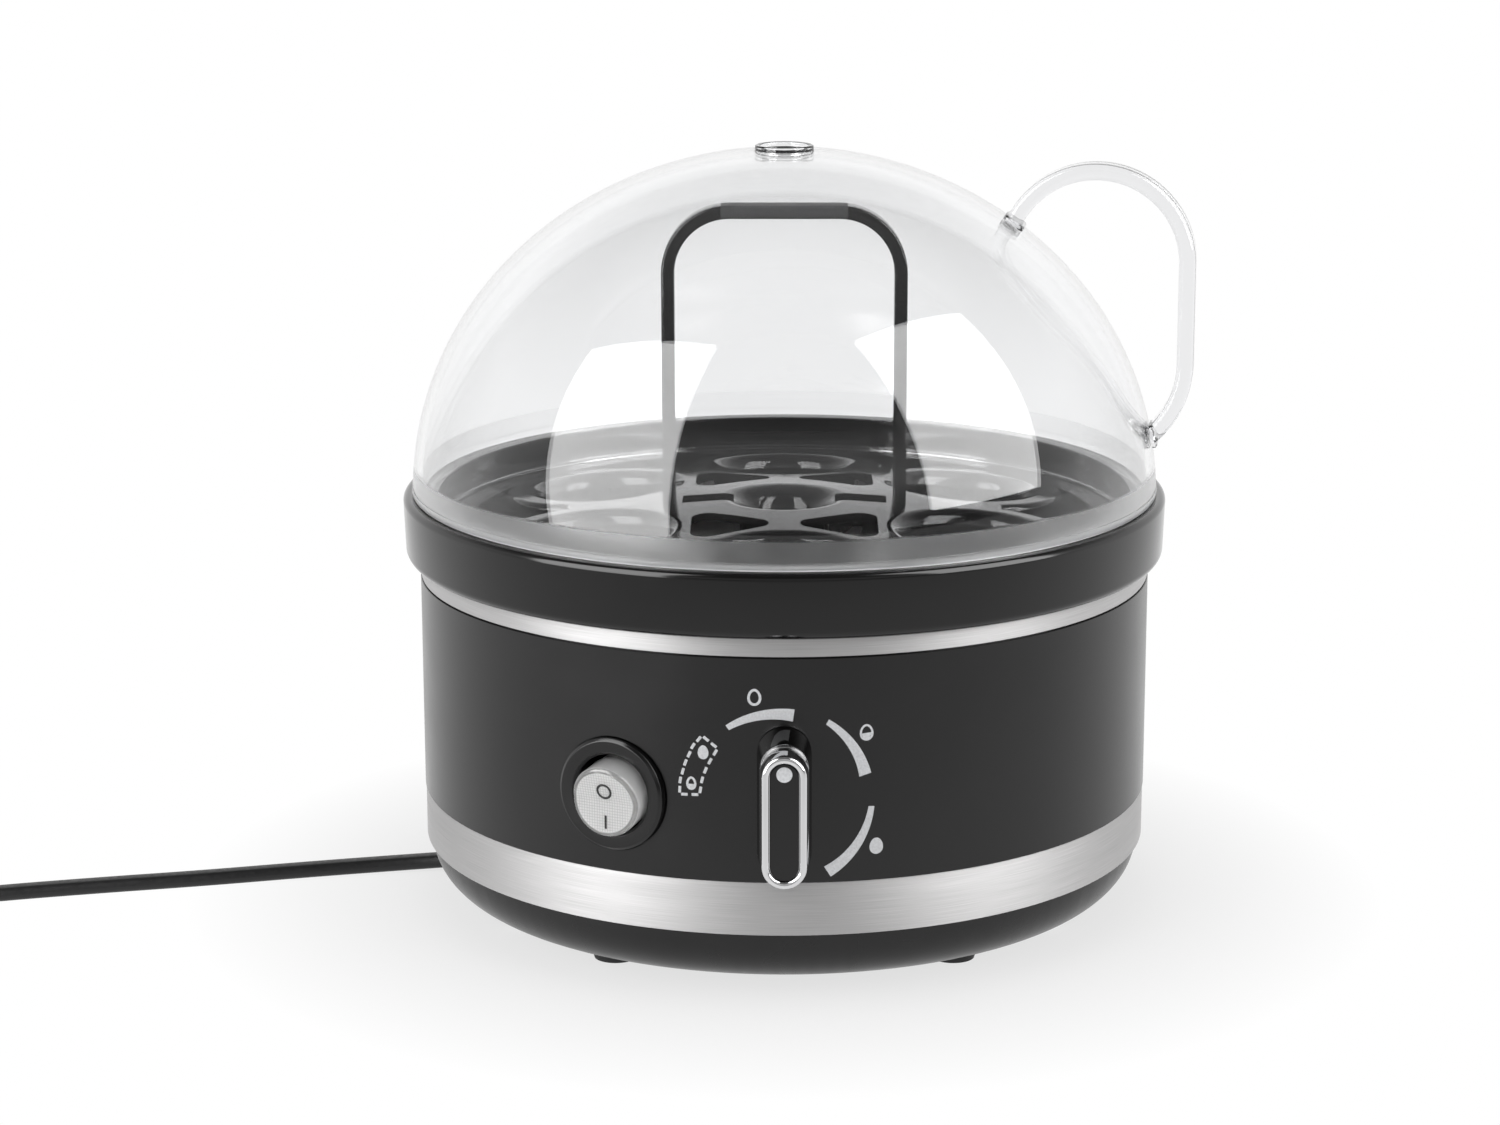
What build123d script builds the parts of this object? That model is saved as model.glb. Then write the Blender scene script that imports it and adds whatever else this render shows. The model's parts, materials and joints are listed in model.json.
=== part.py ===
from build123d import *
import os
from math import cos, radians, sin, sqrt, tan

# Seven-egg steam cooker. Millimetres, +Z up, origin on the floor under the vertical axis.
# The front, with its dial and switch, faces -Y, and angles run anticlockwise from +X.

# Body heights, from the floor up
foot_height = 2.0
foot_sunk = 0.6
pan_height = 14.0
pan_groove = 0.5
lower_band_height = 13.1
sleeve_shown = 53.0
upper_band_shown = 4.9
collar_height = 15.5

# Body radii and walls
body_radius = 90.0
sleeve_wall = 2.5
band_thickness = 0.6
band_sunk = 0.2
pan_flat_radius = 73.0
pan_rim_inset = 0.7
pan_wall = 2.2
spigot_height = 4.0
spigot_wall = 2.0
slip_clearance = 0.15

# Collar that carries the bowl, the tray and the lid
collar_overhang = 4.0
collar_draft = 0.6
collar_web = 1.5
collar_seat_depth = 11.5
collar_seat_width = 5.5
collar_ledge = 3.5
collar_spigot = 4.0
collar_bottom_round = 2.4
collar_top_round = 1.6

# Heating group under the collar
gasket_thickness = 0.8
bowl_sheet = 0.8
bowl_depth = 19.0
bowl_bevel = 8.0
element_radius = 46.0
element_width = 7.0
element_height = 6.0
element_arc = 330.0
element_tail = 13.0
element_tail_radius = 2.2
reflector_sheet = 0.8
reflector_drop = 8.4
reflector_gap = 1.4
stud_circle = 64.0
stud_radius = 2.0
nut_across_flats = 7.0
nut_height = 3.2
thermostat_radius = 8.5
thermostat_height = 5.6
thermostat_foot_radius = 6.8
spring_sheet = 0.6
spring_width = 8.0
spring_reach = 17.0
spring_knee = 11.0

# Egg tray
tray_thickness = 2.0
tray_deck_rise = 5.1
deck_flat_radius = 16.0
deck_slope = 4.0
tray_trough_drop = 3.2
tray_side_gap = 0.8
deck_edge_gap = 1.75
seat_angles = (30.0, 90.0, 150.0, 210.0, 270.0, 330.0)
window_angles = (60.0, 120.0, 240.0, 300.0)
seat_radius = 16.5
seat_flare = 4.0
seat_neck = 9.0
middle_seat_radius = 9.0
middle_seat_flare = 6.5
scallop_margin = 6.0
deck_core_margin = 4.8
window_web = 3.75
window_corner_share = 0.5
drain_width = 8.0
drain_depth = 1.8
drain_bite = 3.0

# Carrying handle of the tray
loop_inset = 1.62
loop_height = 72.6
loop_bar = 3.2
loop_depth = 8.0
loop_corner = 15.0
tongue_thickness = 2.0
tongue_width = 5.0
tongue_barb = 1.0
tongue_clearance = 0.1

# Domed lid and its handle
dome_overhang = 1.5
dome_height = 83.5
dome_wall = 2.2
lid_rim_height = 2.0
lid_rim_out = 0.2
lid_lip_gap = 0.3
lid_lip_wall = 1.9
lid_lip_clearance = 0.35
vent_radius = 5.9
vent_wall = 1.25
vent_tube = 4.6
vent_rise = 1.0
grip_turn = -8.5
grip_thickness = 4.0
grip_width = 8.0
grip_round = 1.5
grip_top_radius = 22.0
grip_top_inset = 15.5
grip_top_rise = 57.6
grip_top_sweep = 170.0
grip_straight = 24.1
grip_low_radius = 24.0
grip_low_sweep = 62.0
grip_peg_radius = 1.8
grip_peg_clearance = 0.05
grip_foot_margin = 0.8
grip_foot_height = 1.2

# Dial knob and the regulator behind it
dial_height = 48.3
knob_gap = 0.5
knob_base_length = 36.0
knob_base_width = 12.4
knob_face_length = 31.0
knob_face_width = 10.2
knob_core_depth = 11.0
knob_cap_depth = 4.6
knob_rim = 1.7
knob_recess = 1.4
inlay_clearance = 0.1
dot_radius = 1.8
dot_height = 11.2
dot_sunk = 0.4
shaft_radius = 3.0
shaft_flat = 0.8
shaft_in_knob = 8.0
shaft_in_regulator = 12.0
shaft_clearance = 0.05
bushing_radius = 4.5
bushing_clearance = 0.3
regulator_plate = 39.0
regulator_plate_thickness = 2.0
plate_corner = 2.0
regulator_width = 26.0
regulator_height = 28.0
regulator_depth = 24.0
dial_pad_depth = 6.0
dial_screw_spacing = 33.0
dial_screw_radius = 1.4
dial_screw_head = 2.5
dial_screw_bite = 3.0

# Round rocker switch
switch_angle = 244.0
switch_height = 47.8
bezel_radius = 13.35
bezel_thickness = 3.0
bezel_sunk = 1.5
bezel_opening = 10.5
barrel_wall = 1.5
barrel_depth = 22.0
barrel_clearance = 0.1
switch_pad = 3.4
switch_pad_margin = 2.2
lens_radius = 9.3
lens_valley = 8.4
lens_base = 1.9
rocker_angle = 7.0
pivot_depth = 6.0
pivot_radius = 1.5
pivot_clearance = 0.05
carrier_radius = 8.8
carrier_below = 2.0
lamp_radius = 2.5
lamp_length = 9.0
blade_width = 4.8
blade_thickness = 0.8
blade_length = 9.0
blade_spacing = 6.0

# Screws, feet and underside
foot_circle = 70.0
foot_radius = 6.0
foot_taper = 0.8
foot_angles = (55.0, 125.0, 235.0, 305.0)
foot_clearance = 0.2
screw_angles = (90.0, 210.0, 330.0)
screw_circle = 74.0
screw_radius = 2.0
screw_head_radius = 4.0
screw_head_height = 2.6
screw_sink = 3.4
screw_bite = 14.0
screw_clearance = 0.2
boss_radius = 5.4
pillar_radius = 4.6
pillar_height = 22.0
pillar_web = 2.5
hub_radius = 30.0
well_radius = 60.0
well_depth = 10.0
hub_tab_reach = 11.0
hub_tab_width = 14.0
hub_tab_thickness = 2.2

# Parts on the pan floor
buzzer_angle = 40.0
buzzer_circle = 46.0
buzzer_radius = 10.5
buzzer_height = 9.0
block_length = 24.0
block_width = 11.0
block_height = 12.0
block_place = 8.0
block_screw_radius = 2.2
block_screw_depth = 3.0
block_screws = 3

# Mains lead
cord_width = 5.6
cord_thickness = 3.4
outlet_angle = 174.0
outlet_height = 8.2
notch_width = 12.0
notch_height = 8.6
relief_length = 22.0
relief_width = 10.0
relief_height = 7.0
relief_lip = 1.6
relief_neck_width = 7.0
relief_neck_height = 5.0
relief_clearance = 0.1
floor_gap = 0.05
coil_centre = (-246.0, 5.0)
coil_inner_radius = 25.6
coil_outer_radius = 37.4
coil_height = 7.2
tie_thickness = 0.9
tie_width = 5.0
tie_angle = 60.0
tie_clearance = 0.1
plug_length = 36.0
plug_width = 35.3
plug_thickness = 13.7
plug_neck_width = 12.0
plug_neck_thickness = 9.0
plug_offset = 29.0
pin_radius = 2.0
pin_length = 19.0
pin_spacing = 18.6
pin_sleeve_length = 10.0
pin_sunk = 4.0

# Levels and radii that follow from the sizes above
pan_bottom = foot_height
pan_top = pan_bottom + pan_height
lower_band_top = pan_top + lower_band_height
upper_band_bottom = lower_band_top + sleeve_shown
collar_bottom = upper_band_bottom + upper_band_shown
collar_top = collar_bottom + collar_height
sleeve_inner = body_radius - sleeve_wall
band_radius = body_radius - band_sunk
band_seat_radius = band_radius - band_thickness
spigot_radius = sleeve_inner - slip_clearance
pan_inner_radius = spigot_radius - spigot_wall
pan_floor = pan_bottom + pan_wall
well_ceiling = pan_bottom + well_depth
well_floor = well_ceiling + pan_wall
pillar_bottom = pan_top + spigot_height + pan_wall
collar_radius = body_radius + collar_overhang
collar_bore = sleeve_inner
ledge_top = collar_top - collar_seat_depth
ledge_bottom = ledge_top - collar_ledge
sleeve_top = ledge_top - collar_web
ledge_radius = collar_bore - collar_seat_width
collar_spigot_bottom = ledge_bottom - collar_spigot
bowl_flange_bottom = ledge_top + gasket_thickness
bowl_flange_top = bowl_flange_bottom + bowl_sheet
bowl_flange_radius = collar_bore - slip_clearance
bowl_radius = ledge_radius - slip_clearance - bowl_sheet
bowl_floor = bowl_flange_top - bowl_depth
bowl_underside = bowl_floor - bowl_sheet
reflector_floor = bowl_underside - reflector_drop
reflector_radius = bowl_radius + bowl_sheet + reflector_gap
tray_flange_top = bowl_flange_top + tray_thickness
tray_radius = collar_bore - slip_clearance - lid_lip_clearance
tray_trough_radius = bowl_radius - tray_side_gap
tray_deck = tray_flange_top + tray_deck_rise
tray_trough = bowl_flange_top - tray_trough_drop
seat_rim = seat_radius + seat_flare
seat_bulge = seat_rim + scallop_margin
seat_circle = tray_trough_radius - deck_edge_gap - seat_bulge
middle_seat_rim = middle_seat_radius + middle_seat_flare
seat_half_gap = seat_circle * sin(radians(30))
bulges_meet = seat_circle * cos(radians(30)) + sqrt(max(0, seat_bulge ** 2 - seat_half_gap ** 2))
deck_core_radius = bulges_meet + deck_core_margin
web_place = seat_circle / sqrt(3)
window_inner = (web_place / 2 - window_web) / (2 - window_corner_share)
loop_half = web_place - loop_inset
dome_radius = body_radius + dome_overhang
grip_top_reach = dome_radius - grip_top_inset
lid_lip_radius = collar_bore - lid_lip_clearance
lid_lip_bottom = tray_flange_top + lid_lip_gap
dial_pad_face = body_radius - dial_pad_depth
knob_back = body_radius + knob_gap
bezel_front = body_radius + bezel_sunk
bezel_seat = bezel_front - bezel_thickness
barrel_radius = bezel_opening + barrel_wall
coil_turn_radius = coil_outer_radius - cord_width / 2
coil_bottom = tie_thickness + tie_clearance
coil_top = coil_bottom + coil_height
outlet_wall = hub_radius - pan_wall

# How boxes and posts stand on their place: centred on it, or running outwards from it
LOW = (Align.CENTER, Align.CENTER, Align.MIN)
OUTWARD = (Align.MIN, Align.CENTER, Align.MIN)


def turned(*corners):
    """A solid of revolution about the vertical axis from (radius, height) corners."""
    return revolve(Plane.XZ * make_face(Polyline(*corners, close=True).edges()), Axis.Z)


def ring(outer, inner, bottom, top):
    """A plain ring about the vertical axis."""
    return extrude(Plane.XY.offset(bottom) * (Circle(outer) - Circle(inner)), amount=top - bottom)


def post(radius, bottom, top):
    """A round post about the vertical axis."""
    return Pos(0, 0, bottom) * Cylinder(radius, top - bottom, align=LOW)


def around(angle, radius):
    """The place at an angle and a radius from the vertical axis."""
    return Rot(0, 0, angle) * Pos(radius, 0, 0)


def facing(angle, radius, height):
    """A plane that looks outwards from the axis, with its own y upwards."""
    outward = Vector(cos(radians(angle)), sin(radians(angle)), 0)
    sideways = Vector(-outward.Y, outward.X, 0)
    return Plane(outward * radius + Vector(0, 0, height), x_dir=sideways, z_dir=outward)


def dial_plane(radius):
    """The plane across the dial's axis at a distance from the body's axis."""
    return facing(-90, radius, dial_height)


def switch_plane(radius):
    """The plane across the switch's axis at a distance from the body's axis."""
    return facing(switch_angle, radius, switch_height)


def drum(plane, radius, depth):
    """A cylinder that stands outwards on a plane."""
    return extrude(plane * Circle(radius), amount=depth)


def ring_edge(solid, radius, height):
    """The round edge of a turned solid that is nearest to a radius and a height."""
    def distance(edge):
        start = edge @ 0
        return abs(sqrt(start.X ** 2 + start.Y ** 2) - radius) + abs(start.Z - height)
    return min(solid.edges().filter_by(GeomType.CIRCLE), key=distance)


def pan_form(flat, rim, low, bend_top, top):
    """A dish with a flat floor and an elliptic bend up to its rim."""
    bend = EllipticalCenterArc((flat, bend_top), rim - flat, bend_top - low, start_angle=270, arc_size=90)
    rest = Polyline(bend @ 1, (rim, top), (0, top), (0, low), bend @ 0)
    return revolve(Plane.XZ * make_face(bend.edges() + rest.edges()), Axis.Z)


def notch_block(width, height):
    """The bar along which the lead leaves through the pan's rim."""
    bar = Box(body_radius - well_radius + pan_wall, width, height, align=OUTWARD)
    return Rot(0, 0, outlet_angle) * Pos(well_radius - pan_wall / 2, 0, pan_bottom) * bar


def base_pan():
    """Moulded base with a rounded edge, a cord well round a hub, screw bosses and an outlet notch."""
    bend_top = pan_top - pan_groove
    outer = pan_form(pan_flat_radius, band_seat_radius - pan_rim_inset, pan_bottom, bend_top, pan_top)
    cavity = pan_form(pan_flat_radius, pan_inner_radius, pan_floor, bend_top, pan_top + spigot_height)
    pan = outer + ring(spigot_radius, pan_inner_radius, bend_top, pan_top + spigot_height) - cavity
    pan += ring(well_radius + pan_wall, hub_radius - pan_wall, pan_bottom, well_floor)
    pan += notch_block(notch_width + 2 * pan_wall, notch_height + pan_wall) & outer
    for angle in screw_angles:
        pan += around(angle, screw_circle) * post(boss_radius, pan_floor - pan_wall / 2, pillar_bottom) - (
            post(2 * body_radius, 0, pan_top) - outer)
    pan -= ring(well_radius, hub_radius, 0, well_ceiling)
    pan -= Pos(0, 0, -pan_bottom) * notch_block(notch_width, notch_height + pan_bottom)
    for angle in screw_angles:
        hole = post(screw_radius + screw_clearance, 0, pillar_bottom)
        sink = post(screw_head_radius + screw_clearance, 0, pan_bottom + screw_sink)
        pan -= around(angle, screw_circle) * (hole + sink)
    for angle in foot_angles:
        pan -= around(angle, foot_circle) * post(foot_radius + foot_clearance, 0, pan_bottom + foot_sunk)
    tab = Box(hub_tab_reach + pan_wall, hub_tab_width, hub_tab_thickness, align=OUTWARD)
    tab = fillet(tab.edges().filter_by(Axis.Z).group_by(Axis.X)[-1], hub_tab_width / 4)
    for angle in foot_angles:
        pan += Rot(0, 0, angle) * Pos(hub_radius - pan_wall, 0, pan_bottom) * tab
    neck = SlotOverall(relief_neck_width + relief_clearance, relief_neck_height + relief_clearance)
    inside_hub = facing(outlet_angle, outlet_wall - pan_wall, outlet_height)
    return pan - extrude(inside_hub * neck, amount=3 * pan_wall)


def rubber_feet():
    """Four tapered pads pressed into the pan's underside."""
    pad = Cone(foot_radius - foot_taper, foot_radius, foot_height + foot_sunk, align=LOW)
    return [around(angle, foot_circle) * pad for angle in foot_angles]


def pan_screw():
    """A round-headed screw, driven upwards from the pan's underside."""
    seat = pan_bottom + screw_sink
    head = post(screw_head_radius, seat - screw_head_height, seat)
    head = fillet(ring_edge(head, screw_head_radius, seat - screw_head_height), screw_head_height / 3)
    return head + post(screw_radius, seat, pillar_bottom + screw_bite)


def base_screws():
    """The screws that hold the pan to the sleeve."""
    return [around(angle, screw_circle) * pan_screw() for angle in screw_angles]


def plate_outline():
    """The regulator's plate, and the pad that it lies on."""
    return RectangleRounded(regulator_plate, regulator_height, plate_corner)


def body_sleeve():
    """The straight black tube of the body, with its pads for the dial and the switch."""
    sleeve = turned(
        (sleeve_inner, pan_top), (band_seat_radius, pan_top),
        (band_seat_radius, lower_band_top), (body_radius, lower_band_top),
        (body_radius, upper_band_bottom), (band_seat_radius, upper_band_bottom),
        (band_seat_radius, sleeve_top), (sleeve_inner, sleeve_top))
    bore = post(body_radius - sleeve_wall / 2, 0, collar_top)
    for angle in screw_angles:
        place = around(angle, screw_circle)
        pillar = post(pillar_radius, pillar_bottom, pillar_bottom + pillar_height)
        web = Box(body_radius - screw_circle, pillar_web, pillar_height, align=OUTWARD)
        sleeve += place * pillar + (place * Pos(0, 0, pillar_bottom) * web & bore)
        sleeve -= place * post(screw_radius, pillar_bottom, pillar_bottom + screw_bite)
    sleeve += extrude(dial_plane(dial_pad_face) * plate_outline(), amount=dial_pad_depth) & bore
    for side in (-1, 1):
        hole = Pos(side * dial_screw_spacing / 2, 0) * Circle(dial_screw_radius)
        sleeve -= extrude(dial_plane(dial_pad_face) * hole, amount=dial_screw_bite)
    sleeve -= drum(dial_plane(dial_pad_face), bushing_radius + bushing_clearance, 2 * dial_pad_depth)
    sleeve += drum(switch_plane(bezel_seat - switch_pad), bezel_radius + switch_pad_margin, switch_pad) & bore
    sleeve -= drum(switch_plane(bezel_seat), bezel_radius + barrel_clearance, 2 * bezel_thickness)
    pad_back = switch_plane(bezel_seat - switch_pad)
    return sleeve - drum(pad_back, barrel_radius + barrel_clearance, 2 * switch_pad)


def lower_steel_band():
    """The broad brushed strip round the foot of the body."""
    return ring(band_radius, band_seat_radius, pan_top, lower_band_top)


def upper_steel_band():
    """The strip under the collar, most of it hidden behind the collar's skirt."""
    return ring(band_radius, band_seat_radius, upper_band_bottom, sleeve_top)


def collar():
    """The gloss ring on top of the sleeve, with a ledge inside for the bowl and the tray."""
    solid = turned(
        (body_radius + slip_clearance, collar_bottom), (collar_radius - collar_draft, collar_bottom),
        (collar_radius, collar_top), (collar_bore, collar_top), (collar_bore, ledge_top),
        (ledge_radius, ledge_top), (ledge_radius, ledge_bottom),
        (spigot_radius - spigot_wall, ledge_bottom), (spigot_radius - spigot_wall, collar_spigot_bottom),
        (spigot_radius, collar_spigot_bottom), (spigot_radius, sleeve_top),
        (body_radius + slip_clearance, sleeve_top))
    solid = fillet(ring_edge(solid, collar_radius - collar_draft, collar_bottom), collar_bottom_round)
    return fillet(ring_edge(solid, collar_radius, collar_top), collar_top_round)


def bowl_gasket():
    """The flat seal between the collar's ledge and the bowl."""
    return ring(bowl_flange_radius, ledge_radius + slip_clearance, ledge_top, bowl_flange_bottom)


def heating_bowl():
    """The pressed steel bowl that holds the water."""
    outer = bowl_radius + bowl_sheet
    lean = bowl_sheet * tan(radians(22.5))
    return turned(
        (0, bowl_underside), (bowl_radius - bowl_bevel + lean, bowl_underside),
        (outer, bowl_floor + bowl_bevel - lean), (outer, bowl_flange_bottom),
        (bowl_flange_radius, bowl_flange_bottom), (bowl_flange_radius, bowl_flange_top),
        (bowl_radius, bowl_flange_top), (bowl_radius, bowl_floor + bowl_bevel),
        (bowl_radius - bowl_bevel, bowl_floor), (0, bowl_floor))


def element_ends():
    """The angles of the heating ring's two ends, either side of the back."""
    half_gap = (360 - element_arc) / 2
    return (90 + half_gap, 90 - half_gap)


def heating_element():
    """A flat-topped tubular ring brazed under the bowl, with its two ends turned down."""
    half = element_width / 2
    low = bowl_underside - element_height
    section = make_face(Polyline(
        (element_radius - half, bowl_underside), (element_radius + half, bowl_underside),
        (element_radius + half, low + half), (element_radius + half / 2, low),
        (element_radius - half / 2, low), (element_radius - half, low + half), close=True).edges())
    solid = Rot(0, 0, element_ends()[0]) * revolve(Plane.XZ * section, Axis.Z, revolution_arc=element_arc)
    for angle in element_ends():
        solid += around(angle, element_radius) * post(
            element_tail_radius, bowl_underside - element_tail, bowl_underside - element_height / 2)
    return solid


def reflector_dish():
    """The dished sheet below the element, clamped up against the collar's spigot."""
    inner = reflector_radius
    dish = turned(
        (0, reflector_floor - reflector_sheet), (inner + reflector_sheet, reflector_floor - reflector_sheet),
        (inner + reflector_sheet, collar_spigot_bottom - reflector_sheet),
        (spigot_radius, collar_spigot_bottom - reflector_sheet), (spigot_radius, collar_spigot_bottom),
        (inner, collar_spigot_bottom), (inner, reflector_floor), (0, reflector_floor))
    for angle in screw_angles:
        dish -= around(angle, stud_circle) * post(stud_radius + screw_clearance, 0, bowl_underside)
    for angle in element_ends():
        dish -= around(angle, element_radius) * post(2 * element_tail_radius, 0, bowl_underside)
    return dish


def bowl_studs():
    """Studs welded under the bowl."""
    low = reflector_floor - reflector_sheet - 2 * nut_height
    return [around(angle, stud_circle) * post(stud_radius, low, bowl_underside) for angle in screw_angles]


def stud_nuts():
    """Nuts that pull the reflector up against the collar."""
    high = reflector_floor - reflector_sheet
    shape = RegularPolygon(nut_across_flats / 2, 6, major_radius=False) - Circle(stud_radius)
    nut = extrude(Plane.XY.offset(high - nut_height) * shape, amount=nut_height)
    return [around(angle, stud_circle) * nut for angle in screw_angles]


def thermostat():
    """The snap-disc thermostat against the middle of the bowl."""
    low = bowl_underside - thermostat_height
    step = low + thermostat_height / 2
    return post(thermostat_radius, step, bowl_underside) + post(thermostat_foot_radius, low, step)


def thermostat_spring():
    """The bent strip that presses the thermostat up from the reflector."""
    crown = bowl_underside - thermostat_height
    low = reflector_floor
    lower = [(-spring_reach, low), (-spring_knee, low), (-thermostat_foot_radius, crown - spring_sheet),
             (thermostat_foot_radius, crown - spring_sheet), (spring_knee, low), (spring_reach, low)]
    upper = [(x, z + spring_sheet) for x, z in reversed(lower)]
    line = Polyline(*lower, *upper, close=True)
    return extrude(Plane.XZ * make_face(line.edges()), amount=spring_width / 2, both=True)


def scallop():
    """The tray deck's outline: a round middle with a bulge round each outer seat."""
    outline = Circle(deck_core_radius)
    for angle in seat_angles:
        outline += around(angle, seat_circle) * Circle(seat_bulge)
    return outline


def deck_level(radius):
    """The deck's height at a radius: level in the middle, then falling outwards."""
    return tray_deck - max(0, radius - deck_flat_radius) * tan(radians(deck_slope))


def deck_form(outline, drop):
    """The solid under the deck's surface inside an outline, lowered by a drop."""
    crown = turned(
        (0, tray_trough), (tray_radius, tray_trough), (tray_radius, deck_level(tray_radius) - drop),
        (deck_flat_radius, tray_deck - drop), (0, tray_deck - drop))
    return extrude(Plane.XY.offset(tray_trough) * outline, amount=tray_deck - tray_trough) & crown


def egg_seat(radius, flare):
    """A flared collar that an egg stands in, and the hole through it, from the deck's surface down."""
    throat = radius + tray_thickness
    arc = CenterArc((radius + flare, -flare), flare, 90, 90)
    rest = Polyline(arc @ 1, (radius, -seat_neck), (throat, -seat_neck), (throat, -tray_thickness),
                    (radius + flare, -tray_thickness), arc @ 0)
    funnel = revolve(Plane.XZ * make_face(arc.edges() + rest.edges()), Axis.Z)
    return funnel, post(radius + flare, -seat_neck, tray_thickness)


def deck_seats():
    """The middle seat and the outer ones, each with its place and tilt on the deck."""
    seats = [(Pos(0, 0, tray_deck), egg_seat(middle_seat_radius, middle_seat_flare))]
    tilted = Pos(seat_circle, 0, deck_level(seat_circle)) * Rot(0, deck_slope, 0)
    for angle in seat_angles:
        seats.append((Rot(0, 0, angle) * tilted, egg_seat(seat_radius, seat_flare)))
    return seats


def rim_edges(deck):
    """The edges round the deck's top, outside its level middle."""
    def reach(edge):
        middle = edge @ 0.5
        return sqrt(middle.X ** 2 + middle.Y ** 2)
    top = [edge for edge in deck.edges() if edge.bounding_box().min.Z > tray_trough + tray_thickness / 2]
    return [edge for edge in top if reach(edge) > 2 * deck_flat_radius]


def drain_box(height):
    """A bar from the middle seat's flare to the carrying loop's foot, below nought."""
    start = middle_seat_rim - drain_bite
    run = loop_half - loop_bar - start
    return Pos(start, 0, 0) * Box(run, drain_width, height, align=(Align.MIN, Align.CENTER, Align.MAX))


def egg_tray():
    """The moulded tray: crowned deck, flared seats, windows, trough and resting flange."""
    deck = deck_form(scallop(), 0)
    deck = fillet(rim_edges(deck), tray_thickness)
    tray = deck + ring(tray_trough_radius, deck_core_radius, tray_trough, tray_trough + tray_thickness)
    tray += ring(tray_trough_radius, tray_trough_radius - tray_thickness, tray_trough, tray_flange_top)
    tray += ring(tray_radius, tray_trough_radius - tray_thickness, bowl_flange_top, tray_flange_top)
    tray -= deck_form(offset(scallop(), amount=-tray_thickness), tray_thickness)
    for place, (funnel, hole) in deck_seats():
        tray = tray - place * hole + place * funnel
    for side in (0, 180):
        tray += Rot(0, 0, side) * Pos(0, 0, tray_deck - drain_depth) * drain_box(tray_thickness)
    window = RegularPolygon(2 * window_inner, 3)
    window = fillet(window.vertices(), window_inner * window_corner_share)
    for angle in window_angles:
        tray -= around(angle, web_place) * extrude(
            Plane.XY.offset(tray_trough) * window, amount=tray_deck - tray_trough)
    for side in (0, 180):
        tray -= Rot(0, 0, side) * Pos(0, 0, tray_deck) * drain_box(drain_depth)
        slot_width = tongue_width + 2 * tongue_clearance
        slot = Box(tongue_thickness + 2 * tongue_clearance, slot_width, 4 * tray_thickness)
        tray -= around(side, loop_half) * Pos(0, 0, loop_foot()) * slot
    return tray


def loop_foot():
    """The height at which the carrying loop stands on the deck."""
    return deck_level(loop_half - loop_bar / 2)


def tray_handle():
    """The tall loop that the tray is carried by, clipped through the deck."""
    foot = loop_foot()
    top = tray_deck + loop_height - loop_bar / 2
    path = FilletPolyline((-loop_half, 0, foot), (-loop_half, 0, top), (loop_half, 0, top),
                          (loop_half, 0, foot), radius=loop_corner)
    section = RectangleRounded(loop_bar, loop_depth, loop_bar / 4)
    strap = sweep(Plane.XY.offset(foot) * Pos(-loop_half, 0) * section, path=path)
    for side in (-1, 1):
        tongue = Box(tongue_thickness, tongue_width, tray_thickness + tongue_barb,
                     align=(Align.CENTER, Align.CENTER, Align.MAX))
        strap += Pos(side * loop_half, 0, foot) * tongue
    return strap


def dome_form(inset):
    """The solid under the dome's surface, drawn in by an inset."""
    arc = EllipticalCenterArc((0, collar_top), dome_radius - inset, dome_height - inset, arc_size=90)
    rest = Polyline(arc @ 1, (0, collar_top), arc @ 0)
    return revolve(Plane.XZ * make_face(arc.edges() + rest.edges()), Axis.Z)


def grip_line():
    """The middle line of the lid's handle in its own upright plane: arc, straight, arc."""
    top_centre = (grip_top_reach, collar_top + grip_top_rise)
    reach = grip_top_reach + grip_top_radius
    straight_foot = top_centre[1] - grip_straight
    top = CenterArc(top_centre, grip_top_radius, 0, grip_top_sweep)
    side = Line((reach, straight_foot), (reach, top_centre[1]))
    low_centre = (reach - grip_low_radius, straight_foot)
    low = CenterArc(low_centre, grip_low_radius, -grip_low_sweep, grip_low_sweep)
    return Plane.XZ * (low + side + top)


def foot_places():
    """Where the handle's middle line meets the dome, upper then lower, with the way out of the dome there."""
    places = []
    for edge in (grip_line().edges().sort_by(Axis.Z)[-1], grip_line().edges().sort_by(Axis.Z)[0]):
        def height_over(share):
            point = edge @ share
            return (point.X / dome_radius) ** 2 + ((point.Z - collar_top) / dome_height) ** 2 - 1
        low, high = (0.0, 1.0) if height_over(0.0) < 0 else (1.0, 0.0)
        for _ in range(40):
            middle = (low + high) / 2
            if height_over(middle) < 0:
                low = middle
            else:
                high = middle
        point = edge @ low
        normal = Vector(point.X / dome_radius ** 2, 0, (point.Z - collar_top) / dome_height ** 2).normalized()
        places.append(Plane(point, x_dir=(0, 1, 0), z_dir=normal))
    return places


def lid_dome():
    """The clear domed cover with a locating lip and a short vent tube."""
    dome = dome_form(0) - dome_form(dome_wall)
    lip_bore = lid_lip_radius - lid_lip_wall
    rim_top = collar_top + lid_rim_height
    dome += ring(dome_radius + lid_rim_out, lip_bore, collar_top, rim_top)
    dome += ring(lid_lip_radius, lip_bore, lid_lip_bottom, rim_top)
    apex = collar_top + dome_height
    dome += post(vent_radius + vent_wall, apex + vent_rise - vent_tube, apex + vent_rise)
    dome -= post(vent_radius, apex - 2 * vent_tube, apex + 2 * vent_tube)
    for plane in foot_places():
        hole = extrude(plane * Circle(grip_peg_radius + grip_peg_clearance), amount=2 * dome_wall, both=True)
        dome -= Rot(0, 0, grip_turn) * hole
    return dome


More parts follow.
